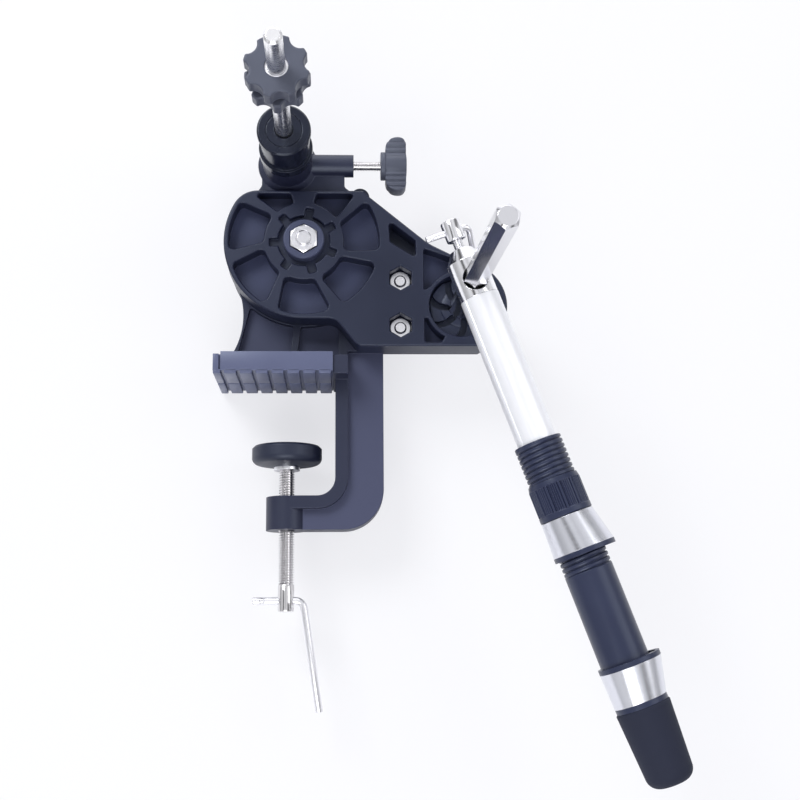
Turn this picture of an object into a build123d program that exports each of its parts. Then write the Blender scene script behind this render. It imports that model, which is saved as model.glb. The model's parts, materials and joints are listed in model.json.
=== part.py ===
from build123d import *
from math import asin, cos, degrees, pi, radians, sin
import os

# Clamp-on line winder, millimetres. X runs right, Y away from the cover's face, Z up.
# The origin is on the underside of the jaw pad, on the clamp screw's axis.

# ---- clearances
RUN = 0.05            # radial gap of a shaft or screw that turns or slides in a bore
GAP = 0.3             # gap between neighbours that move past each other
SNUG = 0.1            # gap of a piece laid in a pocket of its own size
WIDE = 400.0          # longer than any piece, for cutting along a plane

# ---- clamp frame
FRAME_DEPTH = 20.0    # front to back over the ribs
WEB_DEPTH = 12.0      # front to back of the panels between the ribs
THROAT = 24.3         # clamp screw axis to the inner face of the spine
SPINE_WIDTH = 24.1
FLANGE_WIDTH = 6.3    # inner flange that follows the spine's bend
INNER_BEND = 9.0
OUTER_BEND = 20.0
LUG_RADIUS = 10.2
LUG_TOP = -58.3
LUG_HEIGHT = 16.5
JAW_PLATE = 7.2       # thickness of the plate above the pad
HEEL_LOW = 0.5        # the jaw's heel beside the pad ends just above the pad's underside
RIB_WIDTH = 3.4

# ---- jaw pad
PAD_DEPTH = 50.0
PAD_LEFT = -31.1
PAD_RIGHT = 23.1
PAD_WALL = 1.6
PAD_FLOOR = 2.6
PAD_HEIGHT = 11.1
PAD_LIP = 4.6         # end lip past the front wall
PAD_COLUMNS = 7
PAD_GROOVE = 1.5
PAD_GROOVE_DEEP = 1.2

# ---- housing and its front cover
HOUSING_X = 8.5
HOUSING_Z = 68.0
COVER_RADIUS = 40.0
COVER_DEPTH = 15.0
COVER_TOP = 26.4      # flat top edge above the housing's centre
COVER_BOTTOM = 13.9
SHOULDER_X = 37.4     # where the flat top turns down towards the hub
SHOULDER_RADIUS = 9.0
COVER_EDGE = 0.7
COVER_SKIN = 3.0
POCKET_DEEP = 9.0
POCKET_IN = 20.1
POCKET_OUT = 37.7
POCKET_CORNER = 2.8
POCKET_TOP_CORNER = 1.4   # corners of the two pockets cut off by the flat edge
POCKET_COUNT = 7
POCKET_TOP_RIM = 1.6
POCKET_CHAMFER = 0.5
SPOKE_HALF_IN = 4.2   # half angle of a spoke at its inner end, degrees
SPOKE_HALF_OUT = 5.3
SPOKE_LAG = 7.0       # the spokes lean back by this angle towards the centre
SPOKE_TURN = 0.6      # the spokes' ring is turned by this angle
TOP_SPOKE_HALF = 14.6
WINDOW_DEEP = 12.0
RIM_WALL = 2.1        # wall between a window and the hub bore
STAR_RADIUS = 13.0
STAR_TIP = 17.2
STAR_SLOT = 4.1
STAR_DEEP = 3.0
STAR_TURN = 80.0
STAR_CORNER = 0.8
TONGUE_END = 63.5     # the frame's tongue behind the cover ends here
TONGUE_DEPTH = 6.4
EAR_X = 36.8
EAR_Z = 96.0
EAR_RADIUS = 4.8

# ---- fasteners
M8 = 4.0
M8_FLATS = 13.0
M8_NUT = 6.5
M8_HEAD = 5.3
M6 = 3.0
M6_FLATS = 10.0
M6_NUT = 5.0
M6_HEAD = 4.0
M6_SINK = 7.0         # the small nuts lie this deep under the cover's face
M6_X = 56.8
M6_LOW = 24.7
M6_HIGH = 48.8
NUT_ROOM = 0.4        # play of a nut in its hexagon recess
NUT_PROUD = 1.0        # the large nut stands out of its cap
BOLT_PROUD = 1.2
CAP_RADIUS = 10.25
CAP_PROUD = 3.0
SCREW_RADIUS = 1.9
SCREW_HEAD = 3.6
SCREW_LENGTH = 25.0

# ---- spindle
SPINDLE_Z = 109.5
SPINDLE_RADIUS = 4.0
SPINDLE_TIP = -167.0
SPINDLE_CHAMFER = 1.0
BLOCK_FRONT = -20.0
BLOCK_LEFT = -13.0
BLOCK_RIGHT = 28.8
BLOCK_TOP = 5.5       # top above the spindle axis
NECK_RADIUS = 12.4
NECK_FRONT = -38.0
NECK_FLARE = 2.6
BEARING_RADIUS = 8.0
BEARING_LENGTH = 6.0
SLEEVE_RADIUS = 6.4
SLEEVE_LENGTH = 13.0
CLIP_RADIUS = 6.6
CLIP_THICK = 1.0
SEAT_FACE = -67.0
SEAT_RADIUS = 12.95
SEAT_THICK = 4.2
SEAT_WASHER = 0.6
DRUM_RADIUS = 12.0
DRUM_RING = 13.2
DRUM_RING_LENGTH = 6.2
SEAT_SINK = 0.6       # wider mouth of the seat round the spindle
SEAT_LINE = 8.9

# ---- star knobs and collet
STAR_FRONT = -138.0
STAR_THICK = 8.0
STAR_LOWER_THICK = 7.5
STAR_KNOB_RADIUS = 14.4
STAR_LOBES = 8
SCALLOP_RADIUS = 4.7
STAR_ROOT = 11.8
STAR_UPPER_TURN = 29.5
COLLET_RADIUS = 5.2
COLLET_SINK = 1.2
BOSS_RADIUS = 9.2
BOSS_LENGTH = 3.0
NECK_GAP = 1.6

# ---- brake screw and knob
BRAKE_Y = -19.0
M5 = 2.5
BOSS_HALF = 5.7       # radius of the round boss along the screw
BOSS_END = 33.4
SHOE_LENGTH = 4.5
KNOB_LEFT = 47.2
KNOB_RIGHT = 60.1
KNOB_COLLAR = 7.6
KNOB_COLLAR_LENGTH = 2.0
KNOB_HUB = 6.6
WING_REACH = 14.2
WING_THICK = 9.0
WING_CORNER = 4.5
WING_GROOVES = 3
WING_GROOVE = 0.95
WING_PITCH = 3.0

# ---- swing hub
HUB_X = 86.9
HUB_Z = 34.8
HUB_END = 23.0        # radius of the cover's round end
ROTOR_RADIUS = 15.4
ROTOR_SINK = 4.5
ROTOR_FLANGE = 18.3
ROTOR_FLANGE_THICK = 3.7
ROTOR_BOSS = 9.2
ROTOR_SLOTS = 7
ROTOR_SLOT = 3.6
ROTOR_SLOT_DEEP = 4.5
ROTOR_SLOT_BEND = 11.0
ROTOR_HUB = 6.9       # solid ring left round the bar
BORE_ROOM = 0.5
SPRING_THICK = 0.8
WASHER_RADIUS = 12.0
WASHER_THICK = 1.6
BAR_FLATS = 10.0
BAR_TIP = 137.0       # tip above the cover's face
BAR_ROOT = 19.0       # root behind the cover's face
BAR_LEAN = 3.4        # the bar leans outward by this angle
BAR_CHAMFER = 1.6
HUB_BOLT_BITE = 7.0

# ---- arm
ARM_STANDOFF = 41.0   # arm axis above the cover's face
ARM_ANGLE = 20.5      # arm from straight down
HEAD_RADIUS = 9.2
HEAD_TOP = -16.2      # stations along the arm, from the bar's axis
HEAD_CONE = 6.0
HEAD_NOSE = 5.4
HEAD_END = 8.0
HEAD_HOLE = 6.05
SPIGOT_RADIUS = 7.8
SPIGOT_LENGTH = 12.0
TUBE_RADIUS = 9.3
TUBE_WALL = 1.4
TUBE_END = 100.0
LOCK_HEAD = 4.7
LOCK_HEAD_LENGTH = 10.0
LOCK_EXPOSED = 5.2
LOCK_BAR = 1.55
LOCK_BAR_LEFT = 13.2
LOCK_BAR_RIGHT = 4.9
LOCK_BEND = 3.0
LOCK_LEG = 20.0
LOCK_LEG_TILT = 41.0
LOCK_PAD = 1.6        # thickness of the pad under the lock screw

# ---- reel seat
BARREL_START = 80.9
BARREL_TUCK = 8.9      # barrel inside the fixed hood
CORE_RADIUS = 9.3      # core on which the ring behind the hood sits
BARREL_RADIUS = 11.3
THREAD_RADIUS = 11.2
THREAD_ROOT = 10.2
THREAD_PITCH = 2.9
THREAD_END = 143.4
NUT_START = 99.4
NUT_LENGTH = 17.6
NUT_RADIUS = 12.4
NUT_GROOVES = 8
NUT_GROOVE = 1.3
HOOD_LENGTH = 16.4
FIXED_HOOD_LENGTH = 16.3
HOOD_SMALL = 12.3
HOOD_MOUTH = 14.5
HOOD_SHIFT = 1.8      # the mouth sits off centre, over the reel's foot
HOOD_WALL = 1.2
LINER_LIP = 2.2
FOOT_WIDTH = 13.0
FOOT_THICK = 3.4
FOOT_DEEP = 12.0
FIXED_MOUTH = 189.2
RING_LENGTH = 2.4
RING_RADIUS = 12.2
GRIP_BIG = 12.7
GRIP_SMALL = 10.7
GRIP_TAPER = 30.4
GRIP_NOSE = 5.8

# ---- clamp screw
CLAMP_OPEN = 32.6     # pad to foot
FOOT_RADIUS = 17.5
FOOT_SIDE = 8.6
FOOT_DOME = 1.8
FOOT_CORNER = 2.4
COLLAR_RADIUS = 6.5
COLLAR_THICK = 1.6
FOOT_ROOF = 3.2       # foot left above the screw's end
SCREW_END = -114.7
HANDLE_Z = -109.3
HANDLE_RADIUS = 1.9
HANDLE_LEFT = -16.0
HANDLE_BEND = 4.5
HANDLE_LEG = 50.0
HANDLE_SPLAY = 7.0
EAR_OUT = 1.0
EAR_LONG = 2.6

# ---- places worked out from the sizes above
frame_front = -FRAME_DEPTH / 2
frame_back = FRAME_DEPTH / 2
web_front = -WEB_DEPTH / 2
web_back = WEB_DEPTH / 2
cover_face_y = frame_front - COVER_DEPTH
tongue_back = frame_front + TONGUE_DEPTH
spine_out = THROAT + SPINE_WIDTH
lug_bottom = LUG_TOP - LUG_HEIGHT
jaw_top = PAD_FLOOR + JAW_PLATE
housing_top = HOUSING_Z + COVER_TOP
barrel_end = FIXED_MOUTH + BARREL_TUCK
grip_start = FIXED_MOUTH + FIXED_HOOD_LENGTH + RING_LENGTH
HOUSING = Pos(HOUSING_X, HOUSING_Z)
HUB = Pos(HUB_X, HUB_Z)
bar_frame = Location((HUB_X, cover_face_y, HUB_Z), (0, 0, BAR_LEAN)) * Rot(90, 0, 0)
arm_turn = radians(ARM_ANGLE)
arm_plane = Plane(
    origin=(0, 0, 0),
    x_dir=(cos(arm_turn), sin(arm_turn), 0),
    z_dir=(sin(arm_turn), -cos(arm_turn), 0),
)
arm_frame = bar_frame * Pos(0, 0, ARM_STANDOFF) * arm_plane.location


# ---- shapes used throughout
def along_y(radius, front, back, x=0.0, z=0.0):
    """Round bar from front to back."""
    return Pos(x, (front + back) / 2, z) * Rot(90, 0, 0) * Cylinder(radius, back - front)


def along_x(radius, left, right, y=0.0, z=0.0):
    """Round bar from left to right."""
    return Pos((left + right) / 2, y, z) * Rot(0, 90, 0) * Cylinder(radius, right - left)


def along_z(radius, low, high, x=0.0, y=0.0):
    """Round bar from low to high."""
    return Pos(x, y, (low + high) / 2) * Cylinder(radius, high - low)


def block(left, right, front, back, low, high):
    """Box between six planes."""
    size = (right - left, back - front, high - low)
    return Pos((left + right) / 2, (front + back) / 2, (low + high) / 2) * Box(*size)


def outline(*corners):
    """Face from (x, z, corner radius) corners."""
    path = FilletPolyline(
        *[(x, z) for x, z, _ in corners], radius=[r for *_, r in corners], close=True
    )
    return make_face(path)


def slab(face, front, back):
    """Plate of a face drawn in X and Z, from front to back."""
    return extrude(Pos(0, back, 0) * (Plane.XZ * face), amount=back - front, dir=(0, -1, 0))


def turned(*profile):
    """Solid turned about Z from (radius, height) points."""
    points = [(radius, 0, height) for radius, height in profile]
    return revolve(make_face(Polyline(*points, close=True)), Axis.Z)


def hexagon(flats, length):
    """Hexagon bar along Z with corners on X."""
    return extrude(RegularPolygon(flats / 2, 6, major_radius=False), amount=length)


def hex_along_y(flats, front, back, x, z):
    """Hexagon bar along Y with corners up and down."""
    return Pos(x, back, z) * Rot(90, 0, 0) * Rot(0, 0, 30) * hexagon(flats, back - front)


def ring_y(outer, inner, front, back, x=0.0, z=0.0):
    """Plain ring along Y."""
    return along_y(outer, front, back, x, z) - along_y(inner, front, back, x, z)


def sector(inner, outer, inner_from, inner_to, outer_from, outer_to):
    """Face between two arcs about the origin."""
    def at(radius, angle):
        return (radius * cos(radians(angle)), radius * sin(radians(angle)))

    low = CenterArc((0, 0), inner, inner_from, inner_to - inner_from)
    high = CenterArc((0, 0), outer, outer_from, outer_to - outer_from)
    first = Line(at(inner, inner_from), at(outer, outer_from))
    last = Line(at(outer, outer_to), at(inner, inner_to))
    return make_face([low, first, high, last])


def left_of(x):
    """Everything left of x, as a face drawn in X and Z."""
    return Pos(x - WIDE / 2, HOUSING_Z) * Rectangle(WIDE, WIDE)


def right_of(x):
    """Everything right of x, as a face drawn in X and Z."""
    return Pos(x + WIDE / 2, HOUSING_Z) * Rectangle(WIDE, WIDE)


# ---- outlines of the housing
def cover_outline():
    """Cover seen from the front: a disc, a flat top and a round end."""
    disc = HOUSING * Circle(COVER_RADIUS)
    disc -= Pos(HOUSING_X, housing_top + COVER_RADIUS) * Rectangle(4 * COVER_RADIUS, 2 * COVER_RADIUS)
    left = min(disc.vertices(), key=lambda v: v.X - v.Y)
    disc = fillet(left, COVER_RADIUS / 3)
    body = outline(
        (HOUSING_X, housing_top, 0),
        (SHOULDER_X, housing_top, SHOULDER_RADIUS),
        (HUB_X - 16, HUB_Z + 32, 30),
        (HUB_X + 2, HUB_Z + HUB_END, 0),
        (HUB_X, COVER_BOTTOM, 0),
        (HOUSING_X + 26.8, COVER_BOTTOM, 6),
        (HOUSING_X + 15.8, HOUSING_Z - COVER_RADIUS, 8),
        (HOUSING_X, HOUSING_Z - COVER_RADIUS, 0),
    )
    end = HUB * Circle(HUB_END)
    end -= Pos(HUB_X, COVER_BOTTOM - HUB_END) * Rectangle(4 * HUB_END, 2 * HUB_END)
    return disc + body + end


def pocket_outlines():
    """Seven pockets between leaning spokes, the top two cut off by the flat edge."""
    pitch = 360 / POCKET_COUNT
    under_top = Pos(0, COVER_TOP - POCKET_TOP_RIM - COVER_RADIUS) * Rectangle(
        4 * COVER_RADIUS, 2 * COVER_RADIUS
    )
    faces = []
    for k in range(POCKET_COUNT):
        start = 90 + SPOKE_TURN + pitch * k
        end = start + pitch
        inner_from = start - SPOKE_LAG + SPOKE_HALF_IN
        outer_from = start + SPOKE_HALF_OUT
        inner_to = end - SPOKE_LAG - SPOKE_HALF_IN
        outer_to = end - SPOKE_HALF_OUT
        if k == 0:
            inner_from = outer_from = start + TOP_SPOKE_HALF
        if k == POCKET_COUNT - 1:
            inner_to = outer_to = end - TOP_SPOKE_HALF
        face = sector(POCKET_IN, POCKET_OUT, inner_from, inner_to, outer_from, outer_to) & under_top
        cut_off = k in (0, POCKET_COUNT - 1)
        face = fillet(face.vertices(), POCKET_TOP_CORNER if cut_off else POCKET_CORNER)
        faces.append(HOUSING * face)
    return faces


def window_outlines():
    """Slanted window, and two corner pockets that follow the hub's bore."""
    rim = HUB * Circle(ROTOR_RADIUS + BORE_ROOM + RIM_WALL)
    slanted = outline(
        (51.0, 78.8, 1.4), (64.3, 68.4, 1.6), (64.5, 59.4, 1.2), (51.6, 67.6, 1.6)
    )
    upper = outline((68.4, 64.2, 1.0), (82.3, 59.3, 1.0), (81.0, 50, 0), (68.4, 42.4, 0.6)) - rim
    lower = outline((68.6, 28.2, 0.6), (84, 28.2, 0), (76.8, 15.8, 1.0), (68.6, 15.8, 1.0)) - rim
    return [slanted, upper, lower]


def star_outline():
    """Seven-slot star round the housing's centre."""
    face = Circle(STAR_RADIUS)
    slot = Pos(STAR_TIP / 2, 0) * Rectangle(STAR_TIP, STAR_SLOT)
    for k in range(POCKET_COUNT):
        face += Rot(0, 0, STAR_TURN + 360 / POCKET_COUNT * k) * slot
    tips = [v for v in face.vertices() if Vector(v).length > STAR_RADIUS + 1]
    return HOUSING * fillet(tips, STAR_CORNER)


# ---- clamp frame
def make_clamp_frame():
    """One moulding: spine, screw lug, jaw plate, ribbed bracket, spindle block, tongue."""
    spine = outline(
        (THROAT, HOUSING_Z, 0),
        (THROAT, LUG_TOP, INNER_BEND),
        (0, LUG_TOP, 0),
        (0, lug_bottom, 0),
        (spine_out, lug_bottom, OUTER_BEND),
        (spine_out, HOUSING_Z, 0),
    )
    flank_top = (HOUSING_X - 33.0, HOUSING_Z - 22.0)
    flank_foot = (PAD_LEFT + 1.5, jaw_top)
    flank = ThreePointArc(flank_top, (PAD_LEFT + 8.9, HOUSING_Z - 36.0), flank_foot)
    bracket = make_face([
        flank,
        Line(flank_foot, (spine_out, jaw_top)),
        Line((spine_out, jaw_top), (spine_out, HOUSING_Z)),
        Line((spine_out, HOUSING_Z), flank_top),
    ])
    seat = offset(cover_outline(), -COVER_EDGE)
    behind = seat & left_of(spine_out)
    tongue = seat & right_of(HOUSING_X) & left_of(TONGUE_END)
    tower = outline(
        (BLOCK_LEFT, SPINDLE_Z + BLOCK_TOP, 2.0),
        (BLOCK_RIGHT, SPINDLE_Z + BLOCK_TOP, 1.5),
        (BLOCK_RIGHT, housing_top + 3.4, 2.5),
        (BLOCK_RIGHT + 5.0, housing_top - 0.4, 0),
        (BLOCK_RIGHT + 5.0, HOUSING_Z, 0),
        (BLOCK_LEFT - 2.8, HOUSING_Z, 0),
        (BLOCK_LEFT - 2.8, housing_top - 0.2, 0),
        (BLOCK_LEFT, housing_top + 4.0, 2.5),
    )
    above = tower & (Pos(0, housing_top + WIDE / 2 + GAP) * Rectangle(WIDE, WIDE))
    frame = slab(spine + bracket + behind + tower, frame_front, frame_back)
    frame += slab(tongue, frame_front, tongue_back)
    frame += slab(above, BLOCK_FRONT, frame_front)
    frame += along_y(EAR_RADIUS, frame_front, frame_back, EAR_X, EAR_Z)
    half = PAD_DEPTH / 2 - PAD_WALL - SNUG
    frame += block(PAD_LEFT, PAD_RIGHT + SNUG, -half, half, PAD_FLOOR, jaw_top)
    frame += block(PAD_RIGHT + SNUG, THROAT + FLANGE_WIDTH, -half, half, HEEL_LOW, jaw_top)
    frame += along_y(NECK_RADIUS, NECK_FRONT, frame_back, 0, SPINDLE_Z)
    flare = Rot(90, 0, 0) * turned(
        (0, -BLOCK_FRONT), (NECK_RADIUS + NECK_FLARE, -BLOCK_FRONT),
        (NECK_RADIUS, -BLOCK_FRONT + NECK_FLARE), (0, -BLOCK_FRONT + NECK_FLARE),
    )
    frame += Pos(0, 0, SPINDLE_Z) * flare
    frame += along_x(BOSS_HALF, 0, BOSS_END, BRAKE_Y, SPINDLE_Z)
    frame -= frame_hollows()
    frame += along_z(LUG_RADIUS, lug_bottom, LUG_TOP)
    return frame - frame_bores()


def frame_hollows():
    """Panels of the spine, the two bays over the jaw and the pockets behind."""
    edge = THROAT + FLANGE_WIDTH
    panel_top = COVER_BOTTOM + COVER_EDGE
    panel = outline(
        (edge, panel_top, 0),
        (edge, LUG_TOP - FLANGE_WIDTH, INNER_BEND + FLANGE_WIDTH),
        (0, LUG_TOP - FLANGE_WIDTH, 0),
        (0, lug_bottom - 1, 0),
        (spine_out + 1, lug_bottom - 1, 0),
        (spine_out + 1, panel_top, 0),
    )
    hollows = slab(panel, frame_front - 1, web_front) + slab(panel, web_back, frame_back + 1)
    under_cover = HOUSING * Circle(COVER_RADIUS + 0.6)
    rib_top = HOUSING_X - 3.0
    rib_foot = rib_top - 4.2
    bays = [
        outline((PAD_LEFT + 14.0, 44, 0), (rib_top, 44, 0), (rib_foot, jaw_top, 0),
                (PAD_LEFT + 5.4, jaw_top, 0)),
        outline((rib_top + RIB_WIDTH, 44, 0), (THROAT + 1.6, 44, 0), (THROAT + 1.6, jaw_top, 0),
                (rib_foot + RIB_WIDTH, jaw_top, 0)),
    ]
    for bay in bays:
        face = bay - under_cover
        face = fillet(face.vertices(), 1.2)
        hollows += slab(face, frame_front - 1, web_front) + slab(face, web_back, frame_back + 1)
    pitch = 360 / POCKET_COUNT
    for k in range(1, POCKET_COUNT):
        start = 90 + pitch * (k - 0.5)
        cell = sector(POCKET_IN - 5, COVER_RADIUS - 6, start + 7, start + pitch - 7,
                      start + 4, start + pitch - 4)
        cell = HOUSING * fillet(cell.vertices(), POCKET_CORNER)
        cell = cell & left_of(spine_out - RIB_WIDTH)
        hollows += slab(cell, web_back - WEB_DEPTH / 2, frame_back + 1)
    return hollows


def frame_bores():
    """Bores for the clamp screw, spindle, brake screw and bolts."""
    bores = along_z(M8 + RUN, lug_bottom - 1, LUG_TOP + 1)
    bores += along_y(BEARING_RADIUS, NECK_FRONT - 1, frame_back + 1, 0, SPINDLE_Z)
    bores += along_x(M5 + RUN, 0, BOSS_END + 1, BRAKE_Y, SPINDLE_Z)
    bores += along_y(M8, frame_front - 1, frame_back + 1, HOUSING_X, HOUSING_Z)
    for z in (M6_LOW, M6_HIGH):
        bores += along_y(M6, frame_front - 1, frame_back + 1, M6_X, z)
    for x, z in screw_places():
        bores += along_y(SCREW_RADIUS, frame_front - 1, frame_back + 1, x, z)
    return bores


def screw_places():
    """Places of the self-tapping screws behind the housing."""
    reach = COVER_RADIUS - 5.0
    places = [(EAR_X - EAR_RADIUS, housing_top - EAR_RADIUS)]
    for angle in (205.0, 255.0):
        turn = radians(angle)
        places.append((HOUSING_X + reach * cos(turn), HOUSING_Z + reach * sin(turn)))
    return places


# ---- jaw pad
def make_jaw_pad():
    """Rubber tray under the jaw plate, with a grid of blocks below and a lip at its end."""
    half = PAD_DEPTH / 2
    left = PAD_LEFT - PAD_LIP
    pad = block(left, PAD_RIGHT, -half, half, 0, PAD_HEIGHT - 1.2)
    pad += block(PAD_LEFT - 1.0, PAD_RIGHT, -half, half, 0, PAD_HEIGHT)
    inner = half - PAD_WALL
    pad -= block(PAD_LEFT - SNUG, PAD_RIGHT + 1, -inner, inner, PAD_FLOOR, PAD_HEIGHT + 1)
    pad -= block(PAD_LEFT - 1.0 - PAD_GROOVE / 2, PAD_LEFT - 1.0, -half - 1, -half + PAD_GROOVE, -1, PAD_HEIGHT)
    pitch = (PAD_RIGHT - PAD_LEFT) / PAD_COLUMNS
    for k in range(PAD_COLUMNS):
        x = PAD_LEFT + pitch * k
        pad -= block(x - PAD_GROOVE / 2, x + PAD_GROOVE / 2, -half - 1, half + 1, -1, PAD_GROOVE_DEEP)
    pad -= block(left - 1, PAD_RIGHT + 1, -PAD_GROOVE / 2, PAD_GROOVE / 2, -1, PAD_GROOVE_DEEP)
    return pad


# ---- covers
def make_front_cover():
    """Deep cover with seven pockets, windows, star recess, nut recesses and hub bore."""
    face = cover_outline()
    cover = slab(face, cover_face_y, frame_front)
    front = cover.faces().sort_by(Axis.Y)[0]
    cover = chamfer(front.edges(), COVER_EDGE)
    for pocket in pocket_outlines():
        cover -= slab(pocket, cover_face_y - 1, cover_face_y + POCKET_DEEP)
    slanted, upper, lower = window_outlines()
    cover -= slab(slanted, cover_face_y - 1, cover_face_y + WINDOW_DEEP)
    cover -= slab(upper, cover_face_y - 1, cover_face_y + POCKET_DEEP)
    cover -= slab(lower, cover_face_y - 1, cover_face_y + POCKET_DEEP)
    cover -= slab(star_outline(), cover_face_y - 1, cover_face_y + STAR_DEEP)
    cover -= along_y(M8, cover_face_y, frame_front + 1, HOUSING_X, HOUSING_Z)
    for z in (M6_LOW, M6_HIGH):
        cover -= along_y(M6, cover_face_y, frame_front + 1, M6_X, z)
        recess_back = cover_face_y + M6_SINK + M6_NUT
        cover -= hex_along_y(M6_FLATS + NUT_ROOM * 2, cover_face_y - 1, recess_back, M6_X, z)
    cover -= along_y(ROTOR_RADIUS + BORE_ROOM, cover_face_y - 1, frame_front + 1, HUB_X, HUB_Z)
    front = cover.faces().sort_by(Axis.Y)[0]
    cover = chamfer([edge for wire in front.inner_wires() for edge in wire.edges()], POCKET_CHAMFER)
    cover -= along_y(ROTOR_FLANGE + BORE_ROOM, rotor_flange_front() - GAP, frame_front + 1, HUB_X, HUB_Z)
    for x, z in screw_places():
        cover -= along_y(SCREW_RADIUS, frame_back - SCREW_LENGTH, frame_front + 1, x, z)
    return cover


def rotor_flange_front():
    """Front of the rotor's flange, held between the two covers."""
    return frame_front - GAP - ROTOR_FLANGE_THICK


def make_rear_cover():
    """Plate behind the hub, beside the frame's tongue, with a raised bearing ring."""
    seat = offset(cover_outline(), -COVER_EDGE)
    plate = slab(seat & right_of(TONGUE_END + SNUG), frame_front, tongue_back)
    plate -= slab(HUB * Circle(HUB_END - 3) - HUB * Circle(ROTOR_BOSS + 4), tongue_back - 1.5, tongue_back + 1)
    plate -= along_y(ROTOR_BOSS + RUN, frame_front - 1, tongue_back + 1, HUB_X, HUB_Z)
    return plate


# ---- bolts, nuts and cap of the housing
def hex_bolt(radius, flats, head, front, back, x, z):
    """Bolt along Y with its hexagon head at the back and a chamfered end in front."""
    shank = along_y(radius, front, back, x, z)
    end = shank.faces().sort_by(Axis.Y)[0]
    shank = chamfer(end.edges(), radius / 5)
    return shank + hex_along_y(flats, back, back + head, x, z)


def make_pivot_bolt():
    """M8 bolt through frame and cover."""
    front = cover_face_y - CAP_PROUD - NUT_PROUD - BOLT_PROUD
    return hex_bolt(M8, M8_FLATS, M8_HEAD, front, frame_back, HOUSING_X, HOUSING_Z)


def make_pivot_cap():
    """Round cap in the star recess, with a hexagon pocket for the nut."""
    back = cover_face_y + STAR_DEEP
    front = cover_face_y - CAP_PROUD
    cap = along_y(CAP_RADIUS, front, back, HOUSING_X, HOUSING_Z)
    cap = chamfer(cap.faces().sort_by(Axis.Y)[0].edges(), 0.6)
    cap -= hex_along_y(M8_FLATS + NUT_ROOM * 2, front - 1, front + M8_NUT - NUT_PROUD, HOUSING_X, HOUSING_Z)
    return cap - along_y(M8, front - 1, back + 1, HOUSING_X, HOUSING_Z)


def hex_nut(radius, flats, thick, back, x, z):
    """Nut along Y with its outer corners turned off."""
    front = back - thick
    nut = hex_along_y(flats, front, back, x, z)
    corner = flats / 2 / cos(pi / 6)
    drop = corner - flats / 2
    turn = Rot(90, 0, 0) * turned(
        (0, 0), (corner, 0), (corner, thick - drop * 0.6), (flats / 2 * 0.98, thick), (0, thick)
    )
    return (nut & (Pos(x, back, z) * turn)) - along_y(radius, front - 1, back + 1, x, z)


def make_pivot_nut():
    """M8 nut in the cap's pocket."""
    back = cover_face_y - CAP_PROUD + M8_NUT - NUT_PROUD
    return hex_nut(M8, M8_FLATS, M8_NUT, back, HOUSING_X, HOUSING_Z)


def make_cover_bolts():
    """Two M6 bolts through the tongue and the cover."""
    front = cover_face_y + M6_SINK - BOLT_PROUD
    return [
        hex_bolt(M6, M6_FLATS, M6_HEAD, front, tongue_back, M6_X, z) for z in (M6_LOW, M6_HIGH)
    ]


def make_cover_nuts():
    """Two M6 nuts, deep in their recesses."""
    back = cover_face_y + M6_SINK + M6_NUT
    return [hex_nut(M6, M6_FLATS, M6_NUT, back, M6_X, z) for z in (M6_LOW, M6_HIGH)]


def make_cover_screws():
    """Self-tapping screws with pan heads behind the frame."""
    screws = []
    for x, z in screw_places():
        shank = along_y(SCREW_RADIUS, frame_back - SCREW_LENGTH, frame_back, x, z)
        screws.append(shank + along_y(SCREW_HEAD, frame_back, frame_back + SCREW_RADIUS, x, z))
    return screws


# ---- spindle
def make_spindle_bearings():
    """Two bearings in the block's bore."""
    inner = SPINDLE_RADIUS + RUN
    places = [NECK_FRONT + 1.0, frame_back - BEARING_LENGTH - 1.0]
    return [
        ring_y(BEARING_RADIUS, inner, front, front + BEARING_LENGTH, 0, SPINDLE_Z)
        for front in places
    ]


def make_spindle_shaft():
    """Smooth rod with a chamfered tip."""
    rod = along_y(SPINDLE_RADIUS, SPINDLE_TIP, frame_back + CLIP_THICK, 0, SPINDLE_Z)
    return chamfer(rod.faces().sort_by(Axis.Y)[0].edges(), SPINDLE_CHAMFER)


def make_brake_sleeve():
    """Steel sleeve on the rod, where the brake shoe presses."""
    front = BRAKE_Y - SLEEVE_LENGTH / 2
    return ring_y(SLEEVE_RADIUS, SPINDLE_RADIUS, front, front + SLEEVE_LENGTH, 0, SPINDLE_Z)


def make_spindle_clip():
    """Clip behind the rear bearing."""
    front = frame_back - 1.0 + GAP
    return ring_y(CLIP_RADIUS, SPINDLE_RADIUS, front, front + CLIP_THICK, 0, SPINDLE_Z)


def make_seat_drum():
    """Drum behind the spool seat, with a wider ring next to the neck."""
    front = SEAT_FACE + SEAT_THICK + SEAT_WASHER
    back = NECK_FRONT - GAP
    drum = along_y(DRUM_RADIUS, front, back, 0, SPINDLE_Z)
    drum += along_y(DRUM_RING, back - DRUM_RING_LENGTH, back, 0, SPINDLE_Z)
    return drum - along_y(SPINDLE_RADIUS, front - 1, back + 1, 0, SPINDLE_Z)


def make_seat_washer():
    """Thin steel washer between seat and drum."""
    front = SEAT_FACE + SEAT_THICK
    return ring_y(DRUM_RADIUS + 0.4, SPINDLE_RADIUS, front, front + SEAT_WASHER, 0, SPINDLE_Z)


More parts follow.
